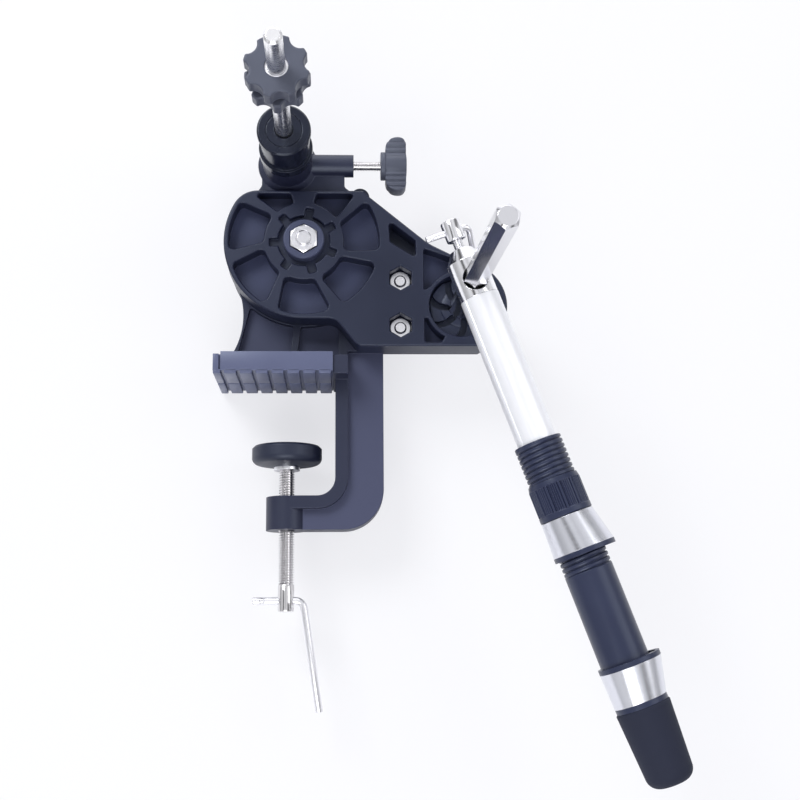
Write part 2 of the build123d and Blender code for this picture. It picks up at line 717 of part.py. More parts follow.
def make_spool_seat():
    """Flange that the spool rests against, with a fine groove round its face."""
    back = SEAT_FACE + SEAT_THICK
    seat = along_y(SEAT_RADIUS, SEAT_FACE, back, 0, SPINDLE_Z)
    seat = chamfer(seat.faces().sort_by(Axis.Y)[0].edges(), 0.8)
    seat -= along_y(SPINDLE_RADIUS, SEAT_FACE - 1, back + 1, 0, SPINDLE_Z)
    seat -= along_y(SPINDLE_RADIUS + SEAT_SINK, SEAT_FACE - 1, SEAT_FACE + 2.0, 0, SPINDLE_Z)
    return seat - ring_y(SEAT_LINE, SEAT_LINE - 0.4, SEAT_FACE - 1, SEAT_FACE + 0.4, 0, SPINDLE_Z)


# ---- star knobs
def star_face(turn):
    """Eight-lobed outline about the spindle axis."""
    face = Circle(STAR_KNOB_RADIUS)
    scallop = Pos(STAR_ROOT + SCALLOP_RADIUS, 0) * Circle(SCALLOP_RADIUS)
    for k in range(STAR_LOBES):
        face -= Rot(0, 0, turn + 360 / STAR_LOBES * (k + 0.5)) * scallop
    return fillet(face.vertices(), 0.9)


def star_plate(turn, front, back):
    """Star knob plate with broken front edges."""
    plate = slab(Pos(0, SPINDLE_Z) * star_face(turn), front, back)
    return chamfer(plate.faces().sort_by(Axis.Y)[0].edges(), 0.5)


def make_star_knob_upper():
    """Ring nut that closes the collet."""
    back = STAR_FRONT + STAR_THICK
    knob = star_plate(STAR_UPPER_TURN, STAR_FRONT, back)
    return knob - along_y(COLLET_RADIUS, STAR_FRONT - 1, back + 1, 0, SPINDLE_Z)


def star_lower_front():
    """Front of the lower star."""
    return STAR_FRONT + STAR_THICK + GAP + NECK_GAP


def make_star_knob_lower():
    """Body with its own star, a neck under the ring nut and a boss that meets the spool."""
    front = star_lower_front()
    back = front + STAR_LOWER_THICK
    knob = star_plate(0.0, front, back)
    knob += along_y(BOSS_RADIUS, front - NECK_GAP, front, 0, SPINDLE_Z)
    knob += along_y(BOSS_RADIUS, back, back + BOSS_LENGTH, 0, SPINDLE_Z)
    return knob - along_y(COLLET_RADIUS, front - NECK_GAP - 1, back + BOSS_LENGTH + 1, 0, SPINDLE_Z)


def make_collet():
    """Steel collet that grips the rod inside both stars."""
    back = star_lower_front() + STAR_LOWER_THICK + BOSS_LENGTH
    return ring_y(COLLET_RADIUS - RUN, SPINDLE_RADIUS + RUN, STAR_FRONT + COLLET_SINK, back - 0.5, 0, SPINDLE_Z)


# ---- brake
def shoe_left():
    """End of the brake shoe next to the sleeve."""
    return SLEEVE_RADIUS + GAP


def make_brake_shoe():
    """Nylon shoe in front of the brake screw."""
    return along_x(M5 - RUN, shoe_left(), shoe_left() + SHOE_LENGTH, BRAKE_Y, SPINDLE_Z)


def make_brake_screw():
    """M5 screw from the shoe into the knob."""
    return along_x(M5, shoe_left() + SHOE_LENGTH, KNOB_RIGHT - 2.0, BRAKE_Y, SPINDLE_Z)


def make_brake_knob():
    """Wing knob: a collar, a hub and two wings with grip grooves along the screw."""
    wing_left = KNOB_LEFT + KNOB_COLLAR_LENGTH
    profile = outline(
        (wing_left, SPINDLE_Z - WING_REACH, WING_CORNER),
        (KNOB_RIGHT, SPINDLE_Z - WING_REACH, WING_CORNER),
        (KNOB_RIGHT, SPINDLE_Z + WING_REACH, WING_CORNER),
        (wing_left, SPINDLE_Z + WING_REACH, WING_CORNER),
    )
    half = WING_THICK / 2
    knob = slab(profile, BRAKE_Y - half, BRAKE_Y + half)
    knob += along_x(KNOB_HUB, wing_left, KNOB_RIGHT + 0.4, BRAKE_Y, SPINDLE_Z)
    knob += along_x(KNOB_COLLAR, KNOB_LEFT, wing_left, BRAKE_Y, SPINDLE_Z)
    for k in range(WING_GROOVES):
        for side in (-1, 1):
            z = SPINDLE_Z + side * (WING_REACH - 1.5 - WING_PITCH * k)
            for y in (BRAKE_Y - half, BRAKE_Y + half):
                knob -= along_x(WING_GROOVE, wing_left - 1, KNOB_RIGHT + 1, y, z)
    return knob - along_x(M5, KNOB_LEFT - 1, KNOB_RIGHT - 2.0, BRAKE_Y, SPINDLE_Z)


# ---- swing hub
def make_hub_rotor():
    """Rotor with seven curved slots, a flange between the covers and a rear journal."""
    front = cover_face_y + ROTOR_SINK
    flange_front = rotor_flange_front()
    flange_back = frame_front - GAP
    rotor = along_y(ROTOR_RADIUS, front, flange_front, HUB_X, HUB_Z)
    rotor += along_y(ROTOR_FLANGE, flange_front, flange_back, HUB_X, HUB_Z)
    rotor += along_y(ROTOR_BOSS, flange_back, tongue_back + GAP, HUB_X, HUB_Z)
    reach = ROTOR_RADIUS + ROTOR_SLOT_BEND
    slots = Sketch()
    for k in range(ROTOR_SLOTS):
        ring = Pos(reach, ROTOR_SLOT_BEND) * (
            Circle(reach - ROTOR_HUB + ROTOR_SLOT / 2) - Circle(reach - ROTOR_HUB - ROTOR_SLOT / 2)
        )
        slots += Rot(0, 0, 360 / ROTOR_SLOTS * k + 10) * ring
    slots = (slots & Circle(ROTOR_RADIUS + 1)) - Circle(ROTOR_HUB)
    rotor -= slab(HUB * slots, front - 1, front + ROTOR_SLOT_DEEP)
    socket = bar_frame * Pos(0, 0, -BAR_ROOT - SNUG) * Rot(0, 0, ARM_ANGLE) * hexagon(
        BAR_FLATS + SNUG, BAR_ROOT + SNUG)
    rotor -= socket
    return rotor - along_y(M6 + SNUG, flange_back, tongue_back + 2, HUB_X, HUB_Z)


def make_hex_bar():
    """Hexagon bar with a turned chamfer at its tip and a threaded root."""
    length = BAR_ROOT + BAR_TIP
    bar = hexagon(BAR_FLATS, length)
    corner = BAR_FLATS / 2 / cos(pi / 6)
    bar &= turned(
        (0, 0), (corner, 0), (corner, length - BAR_CHAMFER),
        (corner - 1.9 * BAR_CHAMFER / 2, length), (0, length),
    )
    bar = bar_frame * Pos(0, 0, -BAR_ROOT) * Rot(0, 0, ARM_ANGLE) * bar
    return bar - along_y(M6 + SNUG, hub_bolt_front() - 1, tongue_back, HUB_X, HUB_Z)


def hub_bolt_front():
    """End of the hub's bolt inside the bar."""
    return cover_face_y + BAR_ROOT - HUB_BOLT_BITE


def make_hub_spring():
    """Spring washer behind the rotor's journal, which gives the hub its drag."""
    front = tongue_back + GAP
    return ring_y(ROTOR_BOSS - 0.6, M6 + SNUG, front, front + SPRING_THICK, HUB_X, HUB_Z)


def make_hub_washer():
    """Wide washer behind the spring."""
    front = tongue_back + GAP + SPRING_THICK
    return ring_y(WASHER_RADIUS, M6 + SNUG, front, front + WASHER_THICK, HUB_X, HUB_Z)


def make_hub_bolt():
    """M6 bolt up into the bar."""
    head_front = tongue_back + GAP + SPRING_THICK + WASHER_THICK
    return hex_bolt(M6, M6_FLATS, M6_HEAD, hub_bolt_front(), head_front, HUB_X, HUB_Z)


# ---- arm, drawn with Z along the arm and Y towards the front
def make_arm_head():
    """Polished head with a cross hole for the bar, a cone on top and a spigot below."""
    head = turned(
        (0, HEAD_TOP), (HEAD_NOSE, HEAD_TOP), (HEAD_RADIUS, HEAD_TOP + HEAD_CONE),
        (HEAD_RADIUS, HEAD_END), (SPIGOT_RADIUS, HEAD_END),
        (SPIGOT_RADIUS, HEAD_END + SPIGOT_LENGTH), (0, HEAD_END + SPIGOT_LENGTH),
    )
    head -= Rot(90, 0, 0) * Cylinder(HEAD_HOLE, 4 * HEAD_RADIUS)
    head -= along_z(M5 + RUN, HEAD_TOP - 1, 0)
    return arm_frame * head


def make_arm_tube():
    """Aluminium tube from the head into the reel seat."""
    tube = along_z(TUBE_RADIUS, HEAD_END, TUBE_END) - along_z(
        TUBE_RADIUS - TUBE_WALL, HEAD_END - 1, TUBE_END + 1)
    return arm_frame * tube


def make_seat_barrel():
    """Reel seat barrel: coarse thread rings, then a smooth length."""
    profile = [(0, BARREL_START), (THREAD_RADIUS, BARREL_START)]
    rings = int((THREAD_END - BARREL_START) / THREAD_PITCH)
    for k in range(rings):
        low = BARREL_START + THREAD_PITCH * k
        profile += [
            (THREAD_RADIUS, low + THREAD_PITCH * 0.45),
            (THREAD_ROOT, low + THREAD_PITCH * 0.65),
            (THREAD_ROOT, low + THREAD_PITCH * 0.8),
            (THREAD_RADIUS, low + THREAD_PITCH),
        ]
    profile += [
        (THREAD_RADIUS, THREAD_END), (BARREL_RADIUS, THREAD_END + 0.4),
        (BARREL_RADIUS, barrel_end), (0, barrel_end),
    ]
    barrel = turned(*profile)
    return arm_frame * (barrel - along_z(TUBE_RADIUS, BARREL_START - 1, TUBE_END))


def hood_cone(small, mouth, shift, low, high):
    """Leaning cone from a centred circle at low to a shifted circle at high."""
    start = Pos(0, 0, low) * Circle(small)
    end = Pos(shift, 0, high) * Circle(mouth)
    return loft([start, end])


def reel_foot(low, high):
    """Room for the reel's foot along the barrel's right side."""
    reach = BARREL_RADIUS + FOOT_THICK
    return block(0, reach, -FOOT_WIDTH / 2, FOOT_WIDTH / 2, low, high) & along_z(reach, low, high)


def make_hood(low, high, mouth_high):
    """Metal hood shell and its dark liner, for a mouth at the high or the low end."""
    length = high - low
    shell = hood_cone(HOOD_SMALL, HOOD_MOUTH, HOOD_SHIFT, 0, length)
    inside = hood_cone(HOOD_SMALL - HOOD_WALL + 0.5, HOOD_MOUTH - HOOD_WALL, HOOD_SHIFT, 0, length)
    bore = along_z(BARREL_RADIUS + RUN, -1, length + LINER_LIP + 1)
    shell -= inside
    lip = Pos(HOOD_SHIFT, 0, length) * Cylinder(
        HOOD_MOUTH + 0.1, LINER_LIP, align=(Align.CENTER, Align.CENTER, Align.MIN))
    liner = inside + lip - bore - reel_foot(length + LINER_LIP - FOOT_DEEP, length + LINER_LIP + 1)
    turn = Location() if mouth_high else Rot(180, 0, 0)
    base = low if mouth_high else high
    return [arm_frame * Pos(0, 0, base) * turn * piece for piece in (shell, liner)]


def sliding_hood():
    """Hood and liner beside the nut, mouth towards the butt."""
    low = NUT_START + NUT_LENGTH + GAP
    return make_hood(low, low + HOOD_LENGTH, True)


def fixed_hood():
    """Hood and liner near the butt, mouth towards the nut."""
    return make_hood(FIXED_MOUTH, FIXED_MOUTH + FIXED_HOOD_LENGTH, False)


def make_seat_nut():
    """Knurled nut: grip panels parted by grooves."""
    high = NUT_START + NUT_LENGTH
    nut = turned(
        (THREAD_RADIUS + RUN, NUT_START), (NUT_RADIUS - 0.8, NUT_START), (NUT_RADIUS, NUT_START + 0.8),
        (NUT_RADIUS, high - 4.0), (NUT_RADIUS - 0.7, high - 3.4), (NUT_RADIUS - 0.7, high - 2.4),
        (NUT_RADIUS, high - 1.8), (NUT_RADIUS, high), (THREAD_RADIUS + RUN, high),
    )
    for k in range(NUT_GROOVES):
        turn = Rot(0, 0, 360 / NUT_GROOVES * (k + 0.5))
        nut -= turn * block(NUT_RADIUS - 0.8, NUT_RADIUS + 1, -NUT_GROOVE, NUT_GROOVE,
                            NUT_START - 1, high - 4.0)
    return arm_frame * nut


def make_butt_ring():
    """Dark ring between hood and grip."""
    ring = along_z(RING_RADIUS, grip_start - RING_LENGTH, grip_start)
    ring += along_z(CORE_RADIUS, barrel_end, grip_start)
    return arm_frame * ring


def make_butt_grip():
    """Foam grip that tapers to a rounded end."""
    end = grip_start + GRIP_TAPER + GRIP_NOSE
    grip = turned(
        (0, grip_start), (GRIP_BIG - 0.6, grip_start), (GRIP_BIG, grip_start + 0.8),
        (GRIP_SMALL, end), (0, end),
    )
    return arm_frame * fillet(grip.edges().sort_by(Axis.Z)[-1], GRIP_NOSE)


# ---- lock screw of the arm
def lock_bar_station():
    """Station of the cross hole in the lock screw's head."""
    return HEAD_TOP - LOCK_EXPOSED - LOCK_HEAD_LENGTH / 2


def lock_pad_top():
    """Station of the pad's face under the lock screw."""
    return -BAR_FLATS / 2 - GAP - LOCK_PAD


def make_lock_pad():
    """Nylon pad between the lock screw and a flat of the bar."""
    return arm_frame * along_z(M5 - RUN, lock_pad_top(), lock_pad_top() + LOCK_PAD)


def make_lock_screw():
    """Screw that pushes the pad, with a drilled round head."""
    top = HEAD_TOP - LOCK_EXPOSED
    screw = along_z(LOCK_HEAD, top - LOCK_HEAD_LENGTH, top)
    screw = chamfer(screw.edges().filter_by(GeomType.CIRCLE), 0.6)
    screw += along_z(M5, top, lock_pad_top())
    screw -= Pos(0, 0, lock_bar_station()) * Rot(0, 90, 0) * Cylinder(LOCK_BAR + RUN, 4 * LOCK_HEAD)
    return arm_frame * screw


def bent_bar(radius, left, right, bend, leg, splay):
    """Bar along X from -left, bent down towards +Z after right, with crimped ears."""
    start = (-left, 0, 0)
    corner = (right + bend, 0, 0)
    end = (right + bend + leg * sin(splay), 0, leg * cos(splay) + bend)
    path = FilletPolyline(start, corner, end, radius=bend)
    bar = sweep(Plane(origin=start, z_dir=(1, 0, 0)) * Circle(radius), path=path)
    return bar


def make_lock_handle():
    """Small bent bar through the lock screw's head; its leg passes behind the arm's head."""
    bar = bent_bar(LOCK_BAR, LOCK_BAR_LEFT, LOCK_BAR_RIGHT, LOCK_BEND, LOCK_LEG, 0.0)
    bar += block(1.4 - LOCK_BAR_LEFT, 3.4 - LOCK_BAR_LEFT, -LOCK_BAR - 0.5, LOCK_BAR + 0.5, -0.6, 0.6)
    return arm_frame * Pos(0, 0, lock_bar_station()) * Rot(LOCK_LEG_TILT, 0, 0) * bar


# ---- clamp screw, foot and handle
foot_top = -CLAMP_OPEN
foot_bottom = foot_top - FOOT_SIDE - FOOT_DOME


def make_clamp_foot():
    """Round foot with a domed underside and a socket for the screw."""
    side = foot_top - FOOT_SIDE
    profile = [
        Line((0, foot_top), (FOOT_RADIUS - FOOT_CORNER / 2, foot_top)),
        Line((FOOT_RADIUS - FOOT_CORNER / 2, foot_top), (FOOT_RADIUS, foot_top - FOOT_CORNER / 2)),
        Line((FOOT_RADIUS, foot_top - FOOT_CORNER / 2), (FOOT_RADIUS, side + FOOT_CORNER)),
        ThreePointArc(
            (FOOT_RADIUS, side + FOOT_CORNER),
            (FOOT_RADIUS - FOOT_CORNER * 0.35, side + FOOT_CORNER * 0.25),
            (FOOT_RADIUS - FOOT_CORNER * 1.2, side - FOOT_DOME * 0.25),
        ),
        Line((FOOT_RADIUS - FOOT_CORNER * 1.2, side - FOOT_DOME * 0.25), (COLLAR_RADIUS, foot_bottom)),
        Line((COLLAR_RADIUS, foot_bottom), (0, foot_bottom)),
        Line((0, foot_bottom), (0, foot_top)),
    ]
    foot = revolve(Plane.XZ * make_face(profile), Axis.Z)
    return foot - along_z(M8 + RUN, foot_bottom - 1, foot_top - FOOT_ROOF)


def make_foot_collar():
    """Steel collar under the foot."""
    low = foot_bottom - COLLAR_THICK
    return along_z(COLLAR_RADIUS, low, foot_bottom) - along_z(M8 + RUN, low - 1, foot_bottom + 1)


def make_clamp_screw():
    """M8 screw with a plain drilled end."""
    screw = along_z(M8, SCREW_END, foot_top - FOOT_ROOF - GAP)
    screw = chamfer(screw.edges().filter_by(GeomType.CIRCLE), 0.7)
    return screw - along_x(HANDLE_RADIUS + RUN, -10, 10, 0, HANDLE_Z)


def make_clamp_handle():
    """Bent bar through the screw's end, crimped at its left end."""
    bar = bent_bar(HANDLE_RADIUS, -HANDLE_LEFT, M8, HANDLE_BEND, HANDLE_LEG, radians(HANDLE_SPLAY))
    ear = HANDLE_LEFT + 3.0
    bar += block(ear, ear + EAR_LONG, -0.9, 0.9, -HANDLE_RADIUS - EAR_OUT, HANDLE_RADIUS + EAR_OUT)
    return Pos(0, 0, HANDLE_Z) * Rot(180, 0, 0) * bar


def write(name, shape):
    """Save one node, whose solids stay apart."""
    pieces = shape if isinstance(shape, list) else [shape]
    solids = [solid for piece in pieces for solid in piece.solids()]
    node = solids[0] if len(solids) == 1 else Compound(children=solids)
    node.label = name
    export_step(node, os.path.join("parts", name + ".step"))


os.makedirs("parts", exist_ok=True)
sliding_shell, sliding_liner = sliding_hood()
fixed_shell, fixed_liner = fixed_hood()
write("clamp_frame", make_clamp_frame())
write("jaw_pad", make_jaw_pad())
write("front_cover", make_front_cover())
write("rear_cover", make_rear_cover())
write("pivot_bolt", make_pivot_bolt())
write("pivot_cap", make_pivot_cap())
write("pivot_nut", make_pivot_nut())
write("cover_bolts", make_cover_bolts())
write("cover_nuts", make_cover_nuts())
write("cover_screws", make_cover_screws())
write("spindle_bearings", make_spindle_bearings())
write("spindle_shaft", make_spindle_shaft())
write("brake_sleeve", make_brake_sleeve())
write("spindle_clip", make_spindle_clip())
write("seat_drum", make_seat_drum())
write("seat_washer", make_seat_washer())
write("spool_seat", make_spool_seat())
write("star_knob_upper", make_star_knob_upper())
write("star_knob_lower", make_star_knob_lower())
write("collet", make_collet())
write("brake_shoe", make_brake_shoe())
write("brake_screw", make_brake_screw())
write("brake_knob", make_brake_knob())
write("hub_rotor", make_hub_rotor())
write("hex_bar", make_hex_bar())
write("hub_spring", make_hub_spring())
write("hub_washer", make_hub_washer())
write("hub_bolt", make_hub_bolt())
write("arm_head", make_arm_head())
write("arm_tube", make_arm_tube())
write("seat_barrel", make_seat_barrel())
write("seat_nut", make_seat_nut())
write("sliding_hood", sliding_shell)
write("sliding_liner", sliding_liner)
write("fixed_hood", fixed_shell)
write("fixed_liner", fixed_liner)
write("butt_ring", make_butt_ring())
write("butt_grip", make_butt_grip())
write("lock_pad", make_lock_pad())
write("lock_screw", make_lock_screw())
write("lock_handle", make_lock_handle())
write("clamp_foot", make_clamp_foot())
write("foot_collar", make_foot_collar())
write("clamp_screw", make_clamp_screw())
write("clamp_handle", make_clamp_handle())
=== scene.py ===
import json
from math import atan2, cos, hypot, pi, radians, sin

import bmesh
import bpy
from mathutils import Matrix, Vector


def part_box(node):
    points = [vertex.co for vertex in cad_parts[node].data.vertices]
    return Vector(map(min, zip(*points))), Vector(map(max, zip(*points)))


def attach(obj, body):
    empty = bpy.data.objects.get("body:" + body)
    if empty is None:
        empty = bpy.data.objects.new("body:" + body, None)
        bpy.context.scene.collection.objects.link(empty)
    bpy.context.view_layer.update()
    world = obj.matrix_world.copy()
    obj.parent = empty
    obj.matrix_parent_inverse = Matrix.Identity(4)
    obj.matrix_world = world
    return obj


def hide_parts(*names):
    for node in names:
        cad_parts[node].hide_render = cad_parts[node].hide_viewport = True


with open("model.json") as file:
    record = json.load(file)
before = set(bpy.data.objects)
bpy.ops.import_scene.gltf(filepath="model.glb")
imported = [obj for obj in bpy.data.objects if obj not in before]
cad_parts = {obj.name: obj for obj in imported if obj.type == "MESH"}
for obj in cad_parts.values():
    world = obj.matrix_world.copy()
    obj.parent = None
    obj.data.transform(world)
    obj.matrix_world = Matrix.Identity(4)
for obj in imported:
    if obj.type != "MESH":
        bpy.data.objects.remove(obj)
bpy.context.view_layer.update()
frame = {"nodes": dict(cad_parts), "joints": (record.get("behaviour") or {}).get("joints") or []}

scene = bpy.context.scene
cad = frame["nodes"]

# ---- Camera and pale sheet behind
# The winder is seen square to its cover, from a little below it, through a long lens.
# A white sheet hangs close behind it and catches its soft shadow.
mm = 0.001
camera_place = (30.6 * mm, -697 * mm, -147.7 * mm)
camera_turn = (radians(101.295), radians(0.417), radians(-2.086))
bpy.ops.object.camera_add(location=camera_place, rotation=camera_turn)
camera = bpy.context.object
camera.name = "photo_camera"
camera.data.lens = 63.0
camera.data.sensor_width = 36.0
camera.data.clip_start = 0.01
scene.camera = camera
scene.view_settings.view_transform = "Standard"


def wire(tree, source, target):
    """Link two sockets of a node tree."""
    tree.links.new(source, target)


def new_finish(name):
    """Empty material with its shader and output."""
    finish = bpy.data.materials.new(name)
    finish.use_nodes = True
    return finish, finish.node_tree, finish.node_tree.nodes["Principled BSDF"]


def colour_mix(tree, first, second):
    """Mix node between two colours."""
    mix = tree.nodes.new("ShaderNodeMix")
    mix.data_type = "RGBA"
    mix.inputs["A"].default_value = (*first, 1)
    mix.inputs["B"].default_value = (*second, 1)
    return mix


def maths(tree, operation):
    """Math node of one operation."""
    step = tree.nodes.new("ShaderNodeMath")
    step.operation = operation
    return step


sheet_size, sheet_y = 6.0, 0.027
bpy.ops.object.select_all(action="DESELECT")
bpy.ops.mesh.primitive_plane_add(size=sheet_size, location=(0, sheet_y, 0),
                                 rotation=(radians(90), 0, 0))
backdrop = bpy.context.object
backdrop.name = "backdrop_sheet"
sheet_paint, sheet_tree, sheet_shader = new_finish("backdrop_paint")
sheet_shader.inputs["Roughness"].default_value = 0.9
sheet_shader.inputs["Specular IOR Level"].default_value = 0.1
sheet_place = sheet_tree.nodes.new("ShaderNodeTexCoord")
sheet_cloud = sheet_tree.nodes.new("ShaderNodeTexNoise")
sheet_cloud.inputs["Scale"].default_value = 6.0
sheet_tone = colour_mix(sheet_tree, (0.940, 0.942, 0.965), (0.955, 0.957, 0.980))
sheet_glow = sheet_tree.nodes.new("ShaderNodeEmission")
sheet_glow.inputs["Color"].default_value = (0.945, 0.948, 0.985, 1)
sheet_rays = sheet_tree.nodes.new("ShaderNodeLightPath")
sheet_share = maths(sheet_tree, "MULTIPLY")
sheet_share.inputs[1].default_value = 0.72
sheet_lift = sheet_tree.nodes.new("ShaderNodeMixShader")
see_through = sheet_tree.nodes.new("ShaderNodeBsdfTransparent")
sheet_side = sheet_tree.nodes.new("ShaderNodeNewGeometry")
sheet_mix = sheet_tree.nodes.new("ShaderNodeMixShader")
wire(sheet_tree, sheet_place.outputs["Object"], sheet_cloud.inputs["Vector"])
wire(sheet_tree, sheet_cloud.outputs["Fac"], sheet_tone.inputs["Factor"])
wire(sheet_tree, sheet_tone.outputs["Result"], sheet_shader.inputs["Base Color"])
wire(sheet_tree, sheet_rays.outputs["Is Camera Ray"], sheet_share.inputs[0])
wire(sheet_tree, sheet_share.outputs["Value"], sheet_lift.inputs["Fac"])
wire(sheet_tree, sheet_shader.outputs["BSDF"], sheet_lift.inputs[1])
wire(sheet_tree, sheet_glow.outputs["Emission"], sheet_lift.inputs[2])
wire(sheet_tree, sheet_side.outputs["Backfacing"], sheet_mix.inputs["Fac"])
wire(sheet_tree, sheet_lift.outputs["Shader"], sheet_mix.inputs[1])
wire(sheet_tree, see_through.outputs["BSDF"], sheet_mix.inputs[2])
wire(sheet_tree, sheet_mix.outputs["Shader"], sheet_tree.nodes["Material Output"].inputs["Surface"])
backdrop.data.materials.append(sheet_paint)

# ---- Studio light
# A large soft box up in front on the left, a second on the right, one above and a low one in
# front; the pale room fills the rest, and its darker strips give metal something to mirror.
lamp_aim = Vector((0.04, -0.03, 0.0))
for lamp_name, lamp_place, lamp_size, lamp_power in (
    ("key_softbox", (-0.75, -1.25, 0.95), 0.8, 17.0),
    ("fill_softbox", (1.15, -1.1, 0.25), 0.9, 5.0),
    ("low_softbox", (-0.1, -0.95, -0.95), 0.9, 9.0),
    ("top_softbox", (0.1, -0.35, 1.25), 0.8, 4.0),
):
    bpy.ops.object.light_add(type="AREA", location=lamp_place)
    lamp = bpy.context.object
    lamp.name = lamp_name
    lamp.data.shape = "SQUARE"
    lamp.data.size = lamp_size
    lamp.data.energy = lamp_power
    toward = lamp_aim - Vector(lamp_place)
    lamp.rotation_euler = toward.to_track_quat("-Z", "Y").to_euler()

room = bpy.data.worlds.new("studio_room")
scene.world = room
room.use_nodes = True
room_tree = room.node_tree
room_light = room_tree.nodes["Background"]
room_rays = room_tree.nodes.new("ShaderNodeLightPath")
room_place = room_tree.nodes.new("ShaderNodeTexCoord")
room_split = room_tree.nodes.new("ShaderNodeSeparateXYZ")
room_height = room_tree.nodes.new("ShaderNodeMapRange")
room_height.inputs["From Min"].default_value = -0.8
room_height.inputs["From Max"].default_value = 0.9
room_height.inputs["To Min"].default_value = 0.26
room_height.inputs["To Max"].default_value = 0.42
room_side = room_tree.nodes.new("ShaderNodeMapRange")
room_side.inputs["From Min"].default_value = -1.0
room_strips = room_tree.nodes.new("ShaderNodeValToRGB")
strips = room_strips.color_ramp
strips.elements[0].color = (0.45, 0.45, 0.48, 1)
strips.elements[1].color = (0.50, 0.50, 0.53, 1)
for strip_place, strip_level in (
    (0.10, 0.85), (0.17, 0.80), (0.21, 0.10), (0.27, 0.12), (0.31, 0.85), (0.40, 0.85),
    (0.44, 0.66), (0.52, 0.70), (0.57, 0.92), (0.70, 0.80), (0.76, 0.18), (0.85, 0.25),
    (0.92, 0.85),
):
    strip = strips.elements.new(strip_place)
    strip.color = (strip_level * 0.985, strip_level * 0.985, strip_level * 1.02, 1)
room_mirror = room_tree.nodes.new("ShaderNodeMix")
room_mirror.data_type = "FLOAT"
room_pick = room_tree.nodes.new("ShaderNodeMix")
room_pick.data_type = "FLOAT"
room_pick.inputs["B"].default_value = 0.98
wire(room_tree, room_place.outputs["Generated"], room_split.inputs["Vector"])
wire(room_tree, room_split.outputs["Z"], room_height.inputs["Value"])
wire(room_tree, room_split.outputs["X"], room_side.inputs["Value"])
wire(room_tree, room_side.outputs["Result"], room_strips.inputs["Fac"])
wire(room_tree, room_rays.outputs["Is Glossy Ray"], room_mirror.inputs["Factor"])
wire(room_tree, room_height.outputs["Result"], room_mirror.inputs["A"])
wire(room_tree, room_strips.outputs["Color"], room_mirror.inputs["B"])
wire(room_tree, room_rays.outputs["Is Camera Ray"], room_pick.inputs["Factor"])
wire(room_tree, room_mirror.outputs["Result"], room_pick.inputs["A"])
wire(room_tree, room_pick.outputs["Result"], room_light.inputs["Strength"])
room_light.inputs["Color"].default_value = (0.975, 0.98, 1.0, 1)

# ---- Clamp frame
# One moulding of black glass-filled nylon: C spine, screw lug, jaw plate, bracket and spindle
# block. The mould is spark-eroded, so it has a very fine grain; its soft edges carry a faint
# painted highlight, and the flat floors of its recesses are left coarser, with painted sheen that
# makes them paler.
bevel_samples = 6


def group_tree(name, ins, outs):
    """New shader node group with named sockets."""
    tree = bpy.data.node_groups.new(name, "ShaderNodeTree")
    for label, kind, value in ins:
        socket = tree.interface.new_socket(label, in_out="INPUT", socket_type=kind)
        socket.default_value = value
    for label, kind in outs:
        tree.interface.new_socket(label, in_out="OUTPUT", socket_type=kind)
    return tree, tree.nodes.new("NodeGroupInput"), tree.nodes.new("NodeGroupOutput")


grain_tree, grain_in, grain_out = group_tree(
    "fine_grain",
    [("Scale", "NodeSocketFloat", 2500.0), ("Low Roughness", "NodeSocketFloat", 0.4),
     ("High Roughness", "NodeSocketFloat", 0.5)],
    [("Height", "NodeSocketFloat"), ("Roughness", "NodeSocketFloat"), ("Cloud", "NodeSocketFloat")],
)
grain_place = grain_tree.nodes.new("ShaderNodeTexCoord")
grain_noise = grain_tree.nodes.new("ShaderNodeTexNoise")
grain_noise.inputs["Detail"].default_value = 3.0
grain_noise.inputs["Roughness"].default_value = 0.65
grain_cloud = grain_tree.nodes.new("ShaderNodeTexNoise")
grain_cloud.inputs["Scale"].default_value = 45.0
grain_cloud.inputs["Detail"].default_value = 4.0
grain_range = grain_tree.nodes.new("ShaderNodeMapRange")
wire(grain_tree, grain_place.outputs["Object"], grain_noise.inputs["Vector"])
wire(grain_tree, grain_place.outputs["Object"], grain_cloud.inputs["Vector"])
wire(grain_tree, grain_in.outputs["Scale"], grain_noise.inputs["Scale"])
wire(grain_tree, grain_cloud.outputs["Fac"], grain_range.inputs["Value"])
wire(grain_tree, grain_in.outputs["Low Roughness"], grain_range.inputs["To Min"])
wire(grain_tree, grain_in.outputs["High Roughness"], grain_range.inputs["To Max"])
wire(grain_tree, grain_noise.outputs["Fac"], grain_out.inputs["Height"])
wire(grain_tree, grain_range.outputs["Result"], grain_out.inputs["Roughness"])
wire(grain_tree, grain_cloud.outputs["Fac"], grain_out.inputs["Cloud"])


recess_tree, recess_in, recess_out = group_tree(
    "recess_depth",
    [("Middle", "NodeSocketFloat", 0.0), ("Reach", "NodeSocketFloat", 0.0064)],
    [("Mask", "NodeSocketFloat")],
)
recess_place = recess_tree.nodes.new("ShaderNodeTexCoord")
recess_split = recess_tree.nodes.new("ShaderNodeSeparateXYZ")
recess_off = maths(recess_tree, "SUBTRACT")
recess_size = maths(recess_tree, "ABSOLUTE")
recess_past = maths(recess_tree, "SUBTRACT")
recess_step = recess_tree.nodes.new("ShaderNodeMapRange")
recess_step.inputs["From Min"].default_value = 0.0005
recess_step.inputs["From Max"].default_value = 0.0
recess_face = recess_tree.nodes.new("ShaderNodeNewGeometry")
recess_aim = recess_tree.nodes.new("ShaderNodeSeparateXYZ")
recess_front = maths(recess_tree, "ABSOLUTE")
recess_flat = recess_tree.nodes.new("ShaderNodeMapRange")
recess_flat.inputs["From Min"].default_value = 0.80
recess_flat.inputs["From Max"].default_value = 0.97
recess_both = maths(recess_tree, "MULTIPLY")
wire(recess_tree, recess_face.outputs["True Normal"], recess_aim.inputs["Vector"])
wire(recess_tree, recess_aim.outputs["Y"], recess_front.inputs[0])
